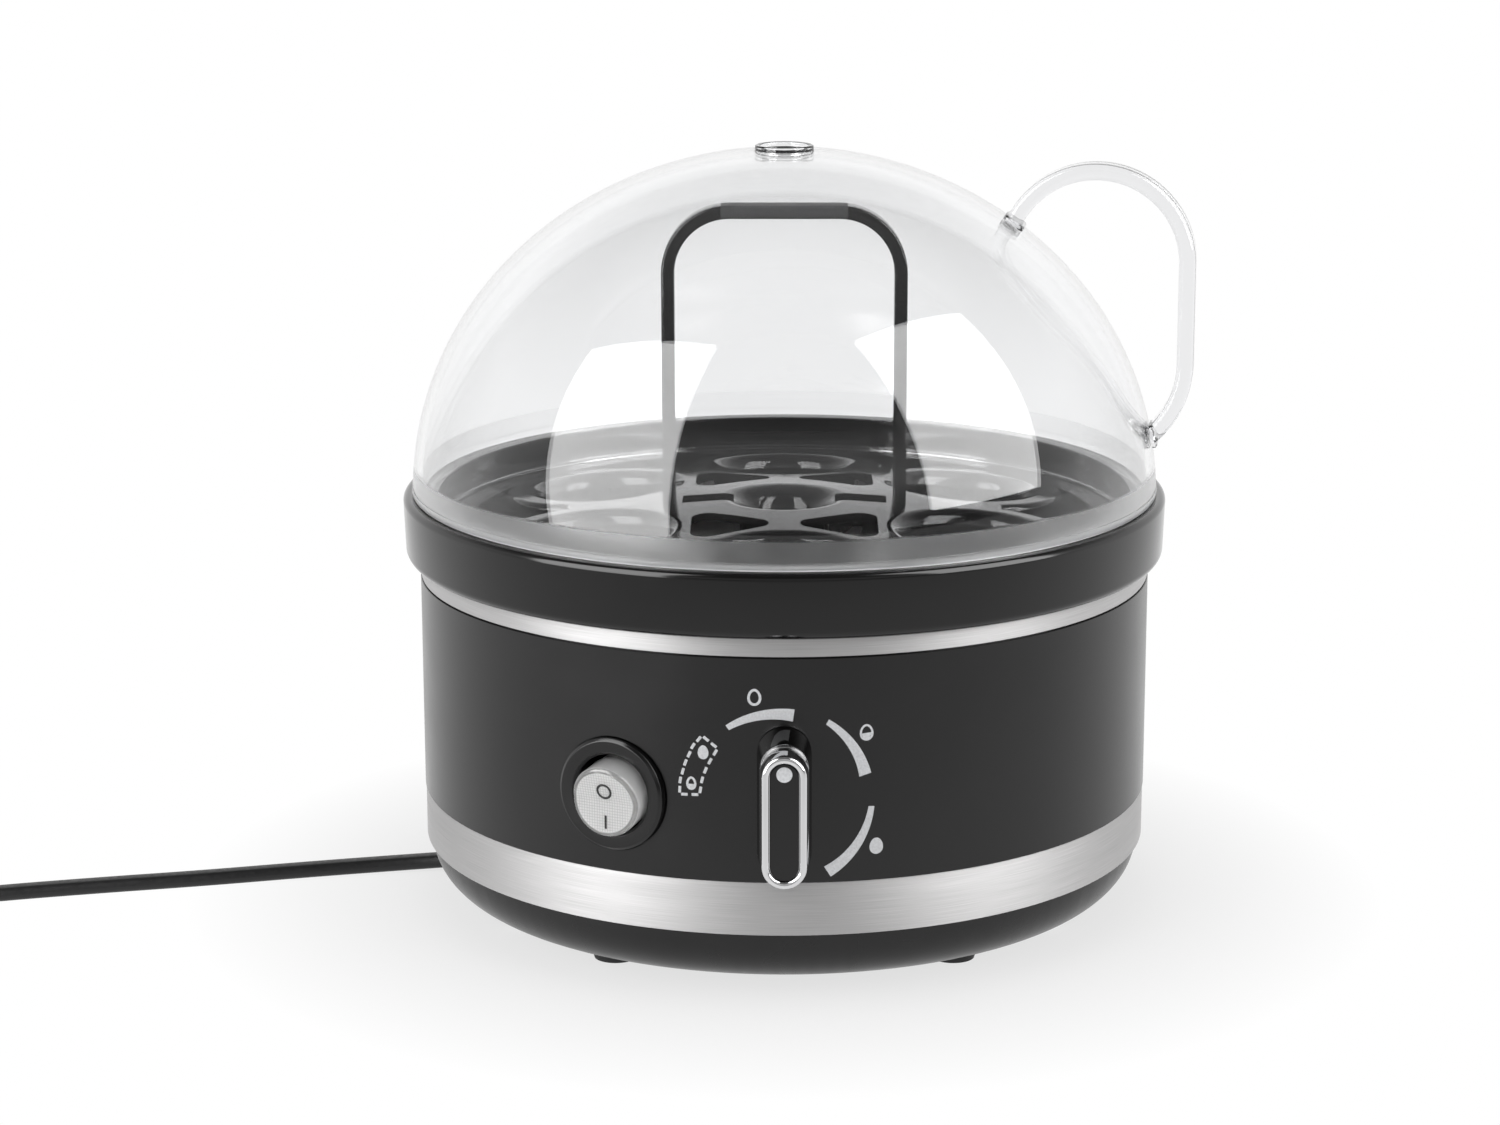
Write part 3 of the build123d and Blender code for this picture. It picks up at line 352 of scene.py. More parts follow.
def merged_copy(name, node, material, body, slot):
    """A finished smooth copy of a frame node, its loose triangles joined and its flat faces kept flat."""
    source = frame["nodes"][node].data
    bm = bmesh.new()
    for vertex in source.vertices:
        bm.verts.new(vertex.co)
    bm.verts.ensure_lookup_table()
    for polygon in source.polygons:
        bm.faces.new([bm.verts[index] for index in polygon.vertices])
    bmesh.ops.remove_doubles(bm, verts=bm.verts, dist=2e-6)
    made = to_object(name, bm, 30.0)
    weighted = made.modifiers.new("flat faces stay flat", "WEIGHTED_NORMAL")
    weighted.keep_sharp = True
    weighted.weight = 60
    return finish(settled_mesh(made), material, body, slot, node)


def dress(material, *nodes):
    """Gives frame nodes whose shape is right a better material."""
    for node in nodes:
        mesh = frame["nodes"][node].data
        mesh.materials.clear()
        mesh.materials.append(material)


# Node trees

def add(tree, kind, inputs=None, **settings):
    """Adds a node, sets its properties, and sets or links its inputs."""
    made = tree.nodes.new(kind)
    for key, value in settings.items():
        setattr(made, key, value)
    feed(tree, made, inputs or {})
    return made


def feed(tree, target, inputs):
    """Sets or links a node's inputs."""
    for key, value in inputs.items():
        socket = target.inputs[key]
        if isinstance(value, bpy.types.NodeSocket):
            tree.links.new(value, socket)
        else:
            socket.default_value = value


def output(tree, kind, inputs=None, **settings):
    """Adds a node and returns its first output."""
    return add(tree, kind, inputs, **settings).outputs[0]


def maths(tree, operation, first, second=0.0):
    """The result of a sum on two numbers."""
    return output(tree, "ShaderNodeMath", {0: first, 1: second}, operation=operation)


def vector_maths(tree, operation, first, second=(0.0, 0.0, 0.0)):
    """The result of a sum on two vectors, which is a number for a length."""
    made = add(tree, "ShaderNodeVectorMath", {0: first, 1: second}, operation=operation)
    return made.outputs["Value" if operation == "LENGTH" else "Vector"]


def parted(tree, vector):
    """The X, Y and Z of a vector."""
    return add(tree, "ShaderNodeSeparateXYZ", {"Vector": vector}).outputs


def coordinates(tree):
    """The texture coordinates."""
    return add(tree, "ShaderNodeTexCoord").outputs


def ranged(tree, value, low, high, start=0.3, end=0.7):
    """A value that goes from low to high between a start and an end, which suit noise."""
    return output(tree, "ShaderNodeMapRange", {
        "Value": value, "From Min": start, "From Max": end, "To Min": low, "To Max": high})


def mixed(tree, value, low, high):
    """A number between two, by a value."""
    return output(tree, "ShaderNodeMix", {0: value, 2: low, 3: high})


def solid(rgb):
    """A colour with full alpha. A linked colour stays as it is."""
    return rgb if isinstance(rgb, bpy.types.NodeSocket) else (*rgb, 1.0)


def tinted(tree, value, dark, light):
    """A colour between two, by a value."""
    mix = add(tree, "ShaderNodeMix", data_type="RGBA")
    feed(tree, mix, {"Factor": value, 6: solid(dark), 7: solid(light)})
    return mix.outputs[2]


def object_noise(tree, scale, detail=3.0, stretch=(1.0, 1.0, 1.0), source="Object"):
    """Noise over a piece, stretched along its axes."""
    place = output(tree, "ShaderNodeMapping", {"Vector": coordinates(tree)[source], "Scale": stretch})
    return output(tree, "ShaderNodeTexNoise", {"Vector": place, "Scale": scale, "Detail": detail})


def bump(tree, height, strength, distance):
    """A bump from a height."""
    return output(tree, "ShaderNodeBump", {"Height": height, "Strength": strength, "Distance": distance})


# Materials

def principled(name, inputs):
    """A material with one Principled shader."""
    material = bpy.data.materials.new(name)
    material.use_nodes = True
    tree = material.node_tree
    shader = tree.nodes["Principled BSDF"]
    feed(tree, shader, inputs)
    return material, tree, shader


def shaded(rgb, share):
    """A colour made darker or lighter."""
    return [min(1.0, channel * share) for channel in rgb]


def moulded_plastic(name, rgb, smooth, rough, grain, depth):
    """A moulded plastic with faint clouding in its gloss and a fine moulded grain."""
    material, tree, shader = principled(name, {"IOR": 1.48})
    cloud = object_noise(tree, 45.0)
    feed(tree, shader, {
        "Base Color": tinted(tree, ranged(tree, cloud, 0.0, 1.0), rgb, shaded(rgb, 1.5)),
        "Roughness": ranged(tree, cloud, smooth, rough),
        "Normal": bump(tree, object_noise(tree, grain, detail=2.0), 0.25, depth)})
    return material


def grip_with_painted_sheen(name, rgb, half, level):
    """Gloss plastic with a satin grip zone above a level and within a half width. The zone is rougher for the
    satin, and its paler colour is a painted sheen that stands in for the lighter reflection on the loop's
    flat top.
    """
    material = moulded_plastic(name, rgb, 0.05, 0.10, 220.0, 0.00001)
    tree = material.node_tree
    shader = tree.nodes["Principled BSDF"]
    place = parted(tree, coordinates(tree)["Object"])
    inside = ranged(tree, maths(tree, "ABSOLUTE", place["X"]), 1.0, 0.0, half - 0.3 * MM, half + 0.3 * MM)
    zone = maths(tree, "MULTIPLY", inside, maths(tree, "GREATER_THAN", place["Z"], level))
    gloss = shader.inputs["Roughness"].links[0].from_socket
    black = shader.inputs["Base Color"].links[0].from_socket
    # In the zone the rougher gloss is the real satin grip; the paler base colour is painted sheen.
    feed(tree, shader, {
        "Roughness": mixed(tree, zone, gloss, 0.5),
        "Base Color": tinted(tree, zone, black, (0.05, 0.05, 0.051))})
    return material


def brushed_metal(name, rgb, smooth, rough):
    """Sheet metal brushed along its length, with streaks in its gloss."""
    material, tree, shader = principled(name, {
        "Metallic": 1.0, "Anisotropic": 0.7, "Anisotropic Rotation": 0.25})
    streak = object_noise(tree, 1.0, detail=4.0, stretch=(55.0, 9000.0, 1.0), source="UV")
    cloud = object_noise(tree, 1.0, detail=2.0, stretch=(18.0, 260.0, 1.0), source="UV")
    feed(tree, shader, {
        "Base Color": tinted(tree, ranged(tree, streak, 0.0, 1.0), shaded(rgb, 0.80), rgb),
        "Roughness": ranged(tree, cloud, smooth, rough),
        "Tangent": output(tree, "ShaderNodeTangent", direction_type="UV_MAP", uv_map="surface"),
        "Normal": bump(tree, streak, 0.35, 0.00003)})
    return material


def plated_metal(name, rgb, smooth, rough):
    """Bright plated metal with a faint waviness."""
    material, tree, shader = principled(name, {"Metallic": 1.0})
    cloud = object_noise(tree, 60.0)
    feed(tree, shader, {
        "Base Color": tinted(tree, ranged(tree, cloud, 0.0, 1.0), shaded(rgb, 0.92), rgb),
        "Roughness": ranged(tree, cloud, smooth, rough),
        "Normal": bump(tree, object_noise(tree, 320.0), 0.04, 0.00003)})
    return material


def matt_surface(name, rgb, grain, rough=0.6):
    """Rubber, silicone or ceramic: matt, with a fine grain."""
    material, tree, shader = principled(name, {"IOR": 1.5, "Specular IOR Level": 0.4})
    fine = object_noise(tree, grain)
    feed(tree, shader, {
        "Base Color": tinted(tree, ranged(tree, fine, 0.0, 1.0), shaded(rgb, 0.8), rgb),
        "Roughness": ranged(tree, fine, rough - 0.08, rough + 0.08),
        "Normal": bump(tree, fine, 0.3, 0.00004)})
    return material


def clear_plastic(name, rgb):
    """Clear moulded plastic."""
    return principled(name, {
        "Base Color": solid(rgb), "IOR": 1.49, "Transmission Weight": 1.0, "Roughness": 0.06})[0]


def frosted_plastic(name, rgb, radius, level):
    """Clear plastic whose skin is frosted outside a radius and below a level."""
    material = clear_plastic(name, rgb)
    tree = material.node_tree
    place = coordinates(tree)["Object"]
    reach = vector_maths(tree, "LENGTH", vector_maths(tree, "MULTIPLY", place, (1.0, 1.0, 0.0)))
    outside = maths(tree, "GREATER_THAN", reach, radius)
    under = ranged(tree, parted(tree, place)["Z"], 1.0, 0.0, level - 0.3 * MM, level + 0.3 * MM)
    band = maths(tree, "MULTIPLY", outside, under)
    grit = maths(tree, "MULTIPLY", object_noise(tree, 5200.0, detail=1.0), band)
    feed(tree, tree.nodes["Principled BSDF"], {
        "Roughness": maths(tree, "MULTIPLY", band, 0.3),
        "Coat Weight": band,
        "Coat Roughness": 0.3,
        "Coat IOR": 1.6,
        "Normal": bump(tree, grit, 0.5, 0.0001)})
    return material


def prism_plastic(name, rgb, pitch, radius):
    """Milky plastic under a smooth skin, with a square grid of small prisms in its face and a clear edge. Its
    colour darkens towards each prism's edges, a painted shade in the grooves between the prisms.
    """
    material, tree, shader = principled(name, {
        "IOR": 1.49, "Roughness": 0.2, "Coat Weight": 1.0, "Coat Roughness": 0.03,
        "Subsurface Weight": 1.0, "Subsurface Radius": (1.0, 1.0, 1.0), "Subsurface Scale": 5 * MM})
    place = coordinates(tree)["UV"]
    reach = vector_maths(tree, "LENGTH", place)
    border = (radius - 1.3 * MM, radius - 1.0 * MM)
    face = ranged(tree, reach, 1.0, 0.0, *border)
    edge = ranged(tree, reach, 0.12, 0.85, *border)
    wall = ranged(tree, reach, 0.85, 0.12, radius - 0.2 * MM, radius - 0.05 * MM)
    cell = vector_maths(tree, "FRACTION", vector_maths(tree, "DIVIDE", place, (pitch, pitch, pitch)))
    sides = vector_maths(tree, "ABSOLUTE", vector_maths(tree, "SUBTRACT", cell, (0.5, 0.5, 0.0)))
    away = parted(tree, sides)
    slope = maths(tree, "MULTIPLY", maths(tree, "MAXIMUM", away["X"], away["Y"]), face)
    feed(tree, shader, {
        # Painted shade: the base colour darkens in the grooves between the prisms.
        "Base Color": tinted(tree, ranged(tree, slope, 0.0, 1.0, 0.5, 0.36), shaded(rgb, 0.62), rgb),
        "Transmission Weight": maths(tree, "MINIMUM", edge, wall),
        "Normal": bump(tree, slope, 0.6, 0.0004)})
    return material


# Repeats by geometry nodes

def new_tree(name, **inputs):
    """A geometry tree with named inputs and a material, and the sockets that give them."""
    tree = bpy.data.node_groups.new(name, "GeometryNodeTree")
    tree.interface.new_socket("Geometry", in_out="OUTPUT", socket_type="NodeSocketGeometry")
    for label, kind in {"Geometry": "Geometry", **inputs, "Material": "Material"}.items():
        tree.interface.new_socket(label, in_out="INPUT", socket_type=f"NodeSocket{kind}")
    return tree, add(tree, "NodeGroupInput").outputs


def close_tree(tree, geometry, material):
    """Ends a geometry tree with real faces in their material."""
    real = output(tree, "GeometryNodeRealizeInstances", {"Geometry": geometry})
    painted = output(tree, "GeometryNodeSetMaterial", {"Geometry": real, "Material": material})
    add(tree, "NodeGroupOutput", {"Geometry": painted})
    return tree


def apply_tree(made, tree, values):
    """Runs a geometry tree on an object with values for its named inputs, and keeps the plain mesh."""
    modifier = made.modifiers.new(tree.name, "NODES")
    modifier.node_group = tree
    for item in tree.interface.items_tree:
        if item.in_out == "INPUT" and item.name in values:
            modifier[item.identifier] = values[item.name]
    return settled_mesh(made)


def dash_tree():
    """Lays short dashes along lines."""
    tree, given = new_tree("dashes along a line", Pitch="Float", Dash="Float", Stroke="Float")
    line = output(tree, "GeometryNodeMeshToCurve", {"Mesh": given["Geometry"]})
    spaced = output(tree, "GeometryNodeResampleCurve", {
        "Curve": line, "Length": given["Pitch"]}, mode="LENGTH")
    outline = output(tree, "GeometryNodeCurvePrimitiveQuadrilateral", {
        "Width": given["Dash"], "Height": given["Stroke"]})
    soft = output(tree, "GeometryNodeFilletCurve", {
        "Curve": outline, "Count": 3, "Radius": DASH_CORNER}, mode="POLY")
    face = output(tree, "GeometryNodeFillCurve", {"Curve": soft}, mode="NGONS")
    upright = output(tree, "GeometryNodeTransform", {"Geometry": face, "Rotation": (math.pi / 2, 0.0, 0.0)})
    heading = output(tree, "GeometryNodeInputTangent")
    turn = output(tree, "FunctionNodeAlignRotationToVector", {"Vector": heading}, axis="X", pivot_axis="Y")
    placed = output(tree, "GeometryNodeInstanceOnPoints", {
        "Points": spaced, "Instance": upright, "Rotation": turn})
    return close_tree(tree, placed, given["Material"])


def prism_tree():
    """Covers a disc with small prisms."""
    tree, given = new_tree("prisms on a disc", Radius="Float", Pitch="Float", Rise="Float", Rows="Int")
    side = maths(tree, "MULTIPLY", maths(tree, "SUBTRACT", given["Rows"], 1.0), given["Pitch"])
    grid = output(tree, "GeometryNodeMeshGrid", {
        "Size X": side, "Size Y": side, "Vertices X": given["Rows"], "Vertices Y": given["Rows"]})
    reach = vector_maths(tree, "LENGTH", output(tree, "GeometryNodeInputPosition"))
    inside = output(tree, "FunctionNodeCompare", {0: reach, 1: given["Radius"]},
                    data_type="FLOAT", operation="LESS_THAN")
    prism = output(tree, "GeometryNodeMeshCone", {
        "Vertices": 4, "Radius Bottom": maths(tree, "MULTIPLY", given["Pitch"], 0.7), "Radius Top": 0.0,
        "Depth": given["Rise"]})
    square = output(tree, "GeometryNodeTransform", {"Geometry": prism, "Rotation": (0.0, 0.0, math.pi / 4)})
    placed = output(tree, "GeometryNodeInstanceOnPoints", {
        "Points": grid, "Selection": inside, "Instance": square})
    both = add(tree, "GeometryNodeJoinGeometry", {"Geometry": given["Geometry"]})
    feed(tree, both, {"Geometry": placed})
    return close_tree(tree, both.outputs["Geometry"], given["Material"])


# The lead: repeats the frame's route, then winds the put-away coil

LEAD_POINTS = (
    (-51.72, 5.44, 8.2), (-63.65, 6.69, 8.2), (-78.57, 8.26, 3.35), (-96.0, 9.4, 1.75), (-120.0, 3.6, 1.75),
    (-147.0, -3.8, 1.75), (-172.0, -9.4, 1.75), (-200.0, -16.6, 1.75), (-224.0, -25.6, 1.75))
COIL_TURNS = 3.25
TURN_POINTS = 16

# Turns at which the coil begins to step in, up and out, and the share of a turn that a step takes
STEP_IN, STEP_UP, STEP_OUT = 0.75, 1.8, 2.95
STEP_LENGTH = 0.3


def eased(share):
    """A smooth step from 0 to 1."""
    held = min(1.0, max(0.0, share))
    return held * held * (3 - 2 * held)


def coil_points():
    """The put-away turns: outer and inner on the floor, inner above, then out over the first turn."""
    width, thickness = sizes().cord_width, sizes().cord_thickness
    centre = (coil_low + coil_high) / 2
    outer = (coil_high.x - coil_low.x) / 2 - width / 2
    inner = outer - 1.1 * width
    low = coil_low.z + thickness / 2
    high = tail_low.z + thickness / 2
    count = int(COIL_TURNS * TURN_POINTS)
    points = []
    for step in range(count + 1):
        turn = step / TURN_POINTS
        angle = -math.pi / 2 - 2 * math.pi * turn
        inward = eased((turn - STEP_IN) / STEP_LENGTH) - eased((turn - STEP_OUT) / STEP_LENGTH)
        radius = outer + (inner - outer) * inward
        level = low + (high - low) * eased((turn - STEP_UP) / STEP_LENGTH)
        x, y = centre.x + radius * math.cos(angle), centre.y + radius * math.sin(angle)
        points.append(Vector((x, y, level)))
    return points


def lead_route():
    """All of the lead's control points, from the strain relief to the plug."""
    route = [Vector(point) * MM for point in LEAD_POINTS]
    route += coil_points()
    end = route[-1]
    plug_start = plug_low.y + 0.5 * MM
    for share in (0.4, 1.0):
        route.append(Vector((end.x, end.y + (plug_start - end.y) * share, end.z)))
    return route


def spline_points(points, resolution):
    """Points along the smooth line that a NURBS spline draws through its control points."""
    curve = bpy.data.curves.new("route", "CURVE")
    curve.dimensions = "3D"
    curve.resolution_u = resolution
    spline = curve.splines.new("NURBS")
    spline.points.add(len(points) - 1)
    for control, point in zip(spline.points, points):
        control.co = (*point, 1.0)
    spline.order_u = 3
    spline.use_endpoint_u = True
    holder = bpy.data.objects.new("route", curve)
    bpy.context.scene.collection.objects.link(holder)
    graph = bpy.context.evaluated_depsgraph_get()
    line = bpy.data.meshes.new_from_object(holder.evaluated_get(graph))
    found = [vertex.co.copy() for vertex in line.vertices]
    bpy.data.objects.remove(holder)
    bpy.data.meshes.remove(line)
    return found


def level_side(heading):
    """The level direction across a heading."""
    return Vector((-heading.y, heading.x, 0.0)).normalized()


class CookerLead(bpy.types.Operator):
    """Lays the lead with its coil, tie and plug"""

    bl_idname = "egg_cooker.lead"
    bl_label = "Lead"

    def execute(self, context):
        size, tone = sizes(), colours()
        jacket = matt_surface("satin cord jacket", tone.rubber, 900.0, rough=0.42)
        moulded = matt_surface("moulded rubber", tone.rubber, 1400.0, rough=0.5)
        path = spline_points(lead_route(), 6)
        width, thickness = size.cord_width, size.cord_thickness
        section = box_outline(width, thickness, thickness * 0.49, steps=5)
        lead = swept("lead", path, section, level_side)
        finish(lead, jacket, "base", "cord_jacket", "mains_cord", "cord_coil", "cord_tail")
        plug = merged_copy("plug", "plug_body", moulded, "base", "black_rubber")
        tie = merged_copy("tie", "coil_tie", moulded, "base", "black_rubber")
        merged_copy("relief", "strain_relief", moulded, "base", "black_rubber")
        dress(moulded_plastic("sleeved pins", tone.drum, 0.3, 0.4, 900.0, 0.00002), "plug_pin_sleeves")
        dress(plated_metal("nickel pins", (0.72, 0.71, 0.69), 0.14, 0.24), "plug_pins")
        pins = [frame["nodes"][name] for name in ("plug_pin_sleeves", "plug_pins")]
        for made in (lead, plug, tie, *pins):
            made.visible_glossy = False
        return {"FINISHED"}


# The body

DRUM_WALL = 2.5 * MM
BAND_DEPTH = 0.6 * MM
BEZEL_RECESS = 3.0 * MM
DIAL_HOLE = 4.8 * MM


def cut(made, cutters):
    """Cuts cutters out of an object."""
    for cutter in cutters:
        boolean = made.modifiers.new("cut", "BOOLEAN")
        boolean.operation = "DIFFERENCE"
        boolean.solver = "EXACT"
        boolean.object = cutter
    settled_mesh(made)
    for cutter in cutters:
        bpy.data.objects.remove(cutter)


def round_normals(made, radius):
    """Gives the faces on a cylinder about the vertical axis its true normals."""
    mesh = made.data
    normals = [Vector(corner.vector) for corner in mesh.corner_normals]
    for polygon in mesh.polygons:
        points = [mesh.vertices[index].co for index in polygon.vertices]
        if all(abs(point.xy.length - radius) < 0.1 * MM for point in points):
            for loop, point in zip(polygon.loop_indices, points):
                normals[loop] = Vector((point.x, point.y, 0.0)).normalized()
    mesh.normals_split_custom_set(normals)


def switch_place():
    """The switch's frame at the bezel's front: x sideways, y up and z outwards."""
    outward = Vector((SWITCH_PIVOT.x, SWITCH_PIVOT.y, 0.0)).normalized()
    sideways = Vector((-outward.y, outward.x, 0.0))
    turn = Matrix((sideways, Vector((0.0, 0.0, 1.0)), outward)).transposed().to_4x4()
    front = outward * (BODY_RADIUS + 1.5 * MM)
    return Matrix.Translation((front.x, front.y, SWITCH_PIVOT.z)) @ turn


def dial_place():
    """The dial's frame at the body's front: x to the right, y up and z outwards."""
    turn = Matrix(((1, 0, 0), (0, 0, -1), (0, 1, 0))).to_4x4()
    return Matrix.Translation((DIAL.x, -BODY_RADIUS, DIAL.z)) @ turn


def drum_shell(seat):
    """The drum, stepped in to a seat for its bands, with holes for the switch and the dial."""
    size = sizes()
    inner, ease = BODY_RADIUS - DRUM_WALL, 0.25 * MM
    drum = turned("drum", rounded([
        (inner, sleeve_low.z, 0), (seat, sleeve_low.z, 0), (seat, band_high.z, 0),
        (BODY_RADIUS, band_high.z, ease), (BODY_RADIUS, upper_low.z, ease), (seat, upper_low.z, 0),
        (seat, sleeve_high.z, 0), (inner, sleeve_high.z, 0)]))
    deep = -5 * BEZEL_RECESS
    recess = plug_form(size.bezel_radius + 0.3 * MM, -BEZEL_RECESS, BEZEL_RECESS)
    barrel = plug_form(size.bezel_opening + 1.6 * MM, deep, BEZEL_RECESS)
    cut(drum, [turned("bezel recess", recess, switch_place(), 96),
               turned("barrel hole", barrel, switch_place(), 96),
               turned("dial hole", plug_form(DIAL_HOLE, deep, BEZEL_RECESS), dial_place(), 64)])
    drum.data.shade_smooth()
    drum.data.set_sharp_from_angle(angle=math.radians(32))
    round_normals(drum, BODY_RADIUS)
    return drum


def collar_ring():
    """The gloss ring round the top: rounded outside, with a ledge for the bowl and a spigot inside."""
    foot, top = upper_high.z - 2.5 * MM, COLLAR_TOP
    reach, web, ledge = collar_high.x, 1.5 * MM, 91.0 * MM
    bore, seat, step = 87.5 * MM, 82.0 * MM, 85.35 * MM
    spigot, skirt = 87.35 * MM, 90.15 * MM
    return turned("collar_ring", rounded([
        (skirt, foot, 0), (reach - 0.6 * MM, foot, 2.4 * MM), (reach, top, 1.6 * MM),
        (bore, top, 0.5 * MM), (bore, ledge, 0), (seat, ledge, 0.3 * MM), (seat, ledge - 3.5 * MM, 0),
        (step, ledge - 3.5 * MM, 0), (step, collar_low.z, 0), (spigot, collar_low.z, 0),
        (spigot, ledge - web, 0), (skirt, ledge - web, 0)], steps=10))


class CookerBody(bpy.types.Operator):
    """Builds the drum, its steel bands, the collar, the base and its feet"""

    bl_idname = "egg_cooker.body"
    bl_label = "Body"

    def execute(self, context):
        tone = colours()
        drum_black = moulded_plastic("drum black", tone.drum, 0.22, 0.27, 2600.0, 0.000008)
        base_black = moulded_plastic("base black", tone.drum, 0.22, 0.30, 1800.0, 0.00002)
        gloss = moulded_plastic("gloss black", tone.gloss, 0.10, 0.15, 260.0, 0.000012)
        satin_steel = brushed_metal("satin brushed steel", tone.steel, 0.62, 0.70)
        bright_steel = brushed_metal("bright brushed steel", tone.steel, 0.48, 0.56)
        rubber = matt_surface("foot rubber", tone.rubber, 1500.0)

        seat = BAND_RADIUS - BAND_DEPTH
        finish(drum_shell(seat), drum_black, "base", "black_satin", "body_sleeve")
        edge, groove = 0.12 * MM, 0.35 * MM
        for name, node, low, high, steel in (
                ("lower_band", "lower_steel_band", band_low.z + groove, band_high.z, satin_steel),
                ("upper_band", "upper_steel_band", upper_low.z + groove, upper_high.z, bright_steel)):
            section = [(BAND_RADIUS, low, edge), (BAND_RADIUS, high, edge), (seat, high, 0), (seat, low, 0)]
            finish(turned(name, rounded(section, steps=3)), steel, "base", "steel_band", node)

        finish(collar_ring(), gloss, "base", "black_gloss", "collar")
        merged_copy("pan", "base_pan", base_black, "base", "black_satin")
        merged_copy("feet", "rubber_feet", rubber, "base", "black_rubber")
        dress(plated_metal("zinc plate", (0.55, 0.55, 0.56), 0.25, 0.38), "base_screws")
        return {"FINISHED"}


# The print round the dial, in millimetres along the body's front and up

PRINT_CENTRE = Vector((-0.7, 48.6)) * MM
PRINTED_ARCS = (
    (125.6, 82.1, 21.1, 20.5),
    (60.6, 16.8, 21.4, 20.1),
    (-4.8, -58.0, 20.8, 19.9))
ARC_THIN = 1.35 * MM
ARC_THICK = 2.9 * MM
NOUGHT = (-6.8, 73.1, 3.2, 4.0, 0.6)
EGGS = (
    (18.8, 64.4, 3.2, 3.9, 0.5, 0.0),
    (21.2, 37.3, 3.2, 3.9),
    (-18.6, 59.7, 2.5, 3.3),
    (-21.4, 52.2, 2.4, 3.2, 0.55, -0.05))
DASHED_SIDES = (
    ((-18.8, 63.6), (-20.8, 61.4), (-22.7, 57.2), (-24.0, 52.9), (-24.2, 49.4)),
    ((-24.2, 49.4), (-19.4, 49.6)),
    ((-19.4, 49.6), (-19.1, 52.3), (-18.3, 55.0), (-16.9, 57.9), (-15.2, 60.8)),
    ((-15.2, 60.8), (-18.8, 63.6)))
DASH_INSET = 1.15 * MM
DASH_CORNER = 0.12 * MM
PRINT_GAP = 0.01 * MM
DASH_SIZES = {"Pitch": 2.15 * MM, "Dash": 1.6 * MM, "Stroke": 0.68 * MM}


def flat_points(bm, points, x=0.0, z=0.0):
    """Adds an outline's points to a flat print, moved to a place."""
    return [bm.verts.new((point.x + x, 0.0, point.y + z)) for point in points]


def printed_arc(bm, start, end, start_radius, end_radius, steps=28):
    """Adds an arc that grows from a thin tip to a thick end."""
    inner, outer = [], []
    for step in range(steps + 1):
        share = step / steps
        angle = math.radians(start + (end - start) * share)
        radius = (start_radius + (end_radius - start_radius) * share) * MM
        half = (ARC_THIN + (ARC_THICK - ARC_THIN) * share) / 2
        heading = Vector((math.cos(angle), math.sin(angle)))
        inner.append(PRINT_CENTRE + heading * (radius - half))
        outer.append(PRINT_CENTRE + heading * (radius + half))
    low, high = flat_points(bm, inner), flat_points(bm, outer)
    for step in range(steps):
        bm.faces.new((low[step], low[step + 1], high[step + 1], high[step]))


def egg_ring(bm, x, z, width, height, stroke):
    """Adds an egg's outline with a stroke, and returns its inner outline."""
    inner = egg_outline(width - 2 * stroke, height - 2 * stroke)
    bridge(bm, flat_points(bm, egg_outline(width, height), x, z), flat_points(bm, inner, x, z))
    return inner


def printed_egg(bm, x, z, width, height, stroke=None, level=None):
    """Adds a full egg or, with a stroke, an egg's outline that is filled up to a level."""
    filled = egg_outline(width, height)
    if stroke is not None:
        inner = egg_ring(bm, x, z, width, height, stroke)
        filled = [point for point in inner if point.y <= level]
        filled.sort(key=lambda point: math.atan2(point.y - level + height, point.x))
    bm.faces.new(flat_points(bm, filled, x, z))


def metres(values):
    """Values in metres from values in millimetres."""
    return [value * MM for value in values]


def dashed_box(material):
    """The dashed outline left of the dial, still flat."""
    bm = bmesh.new()
    for side in DASHED_SIDES:
        line = [Vector(point) * MM for point in side]
        line[0] += (line[1] - line[0]).normalized() * DASH_INSET
        line[-1] += (line[-2] - line[-1]).normalized() * DASH_INSET
        points = flat_points(bm, line)
        for pair in zip(points, points[1:]):
            bm.edges.new(pair)
    return apply_tree(to_object("dashed box", bm), dash_tree(), {**DASH_SIZES, "Material": material})


def wrap_print(made, lift):
    """Gives a flat print its thickness and bends it round the body's front."""
    bm = bmesh.new()
    bm.from_mesh(made.data)
    bmesh.ops.triangulate(bm, faces=bm.faces)
    bmesh.ops.recalc_face_normals(bm, faces=bm.faces)
    for face in bm.faces:
        if face.normal.y > 0:
            face.normal_flip()
    skin = bmesh.ops.extrude_face_region(bm, geom=bm.faces[:], use_keep_orig=True)
    for item in skin["geom"]:
        if isinstance(item, bmesh.types.BMVert):
            item.co.y -= lift
    bmesh.ops.recalc_face_normals(bm, faces=bm.faces)
    for vertex in bm.verts:
        reach = BODY_RADIUS + PRINT_GAP - vertex.co.y
        angle = vertex.co.x / BODY_RADIUS
        vertex.co = (reach * math.sin(angle), -reach * math.cos(angle), vertex.co.z)
    bm.to_mesh(made.data)
    bm.free()
    made.data.shade_smooth()
    made.data.set_sharp_from_angle(angle=math.radians(30))


class CookerPrint(bpy.types.Operator):
    """Prints the dial's marks on the drum"""

    bl_idname = "egg_cooker.dial_print"
    bl_label = "Dial print"

    def execute(self, context):
        ink = matt_surface("pale print", colours().mark, 2200.0, rough=0.35)
        bm = bmesh.new()
        for values in PRINTED_ARCS:
            printed_arc(bm, *values)
        egg_ring(bm, *metres(NOUGHT))
        for values in EGGS:
            printed_egg(bm, *metres(values))
        marks = to_object("marks", bm)
        marks = joined("dial_marks", [marks, dashed_box(ink)])
        wrap_print(marks, sizes().print_lift)
        finish(marks, ink, "base", "pale_mark")
        return {"FINISHED"}


# The knob

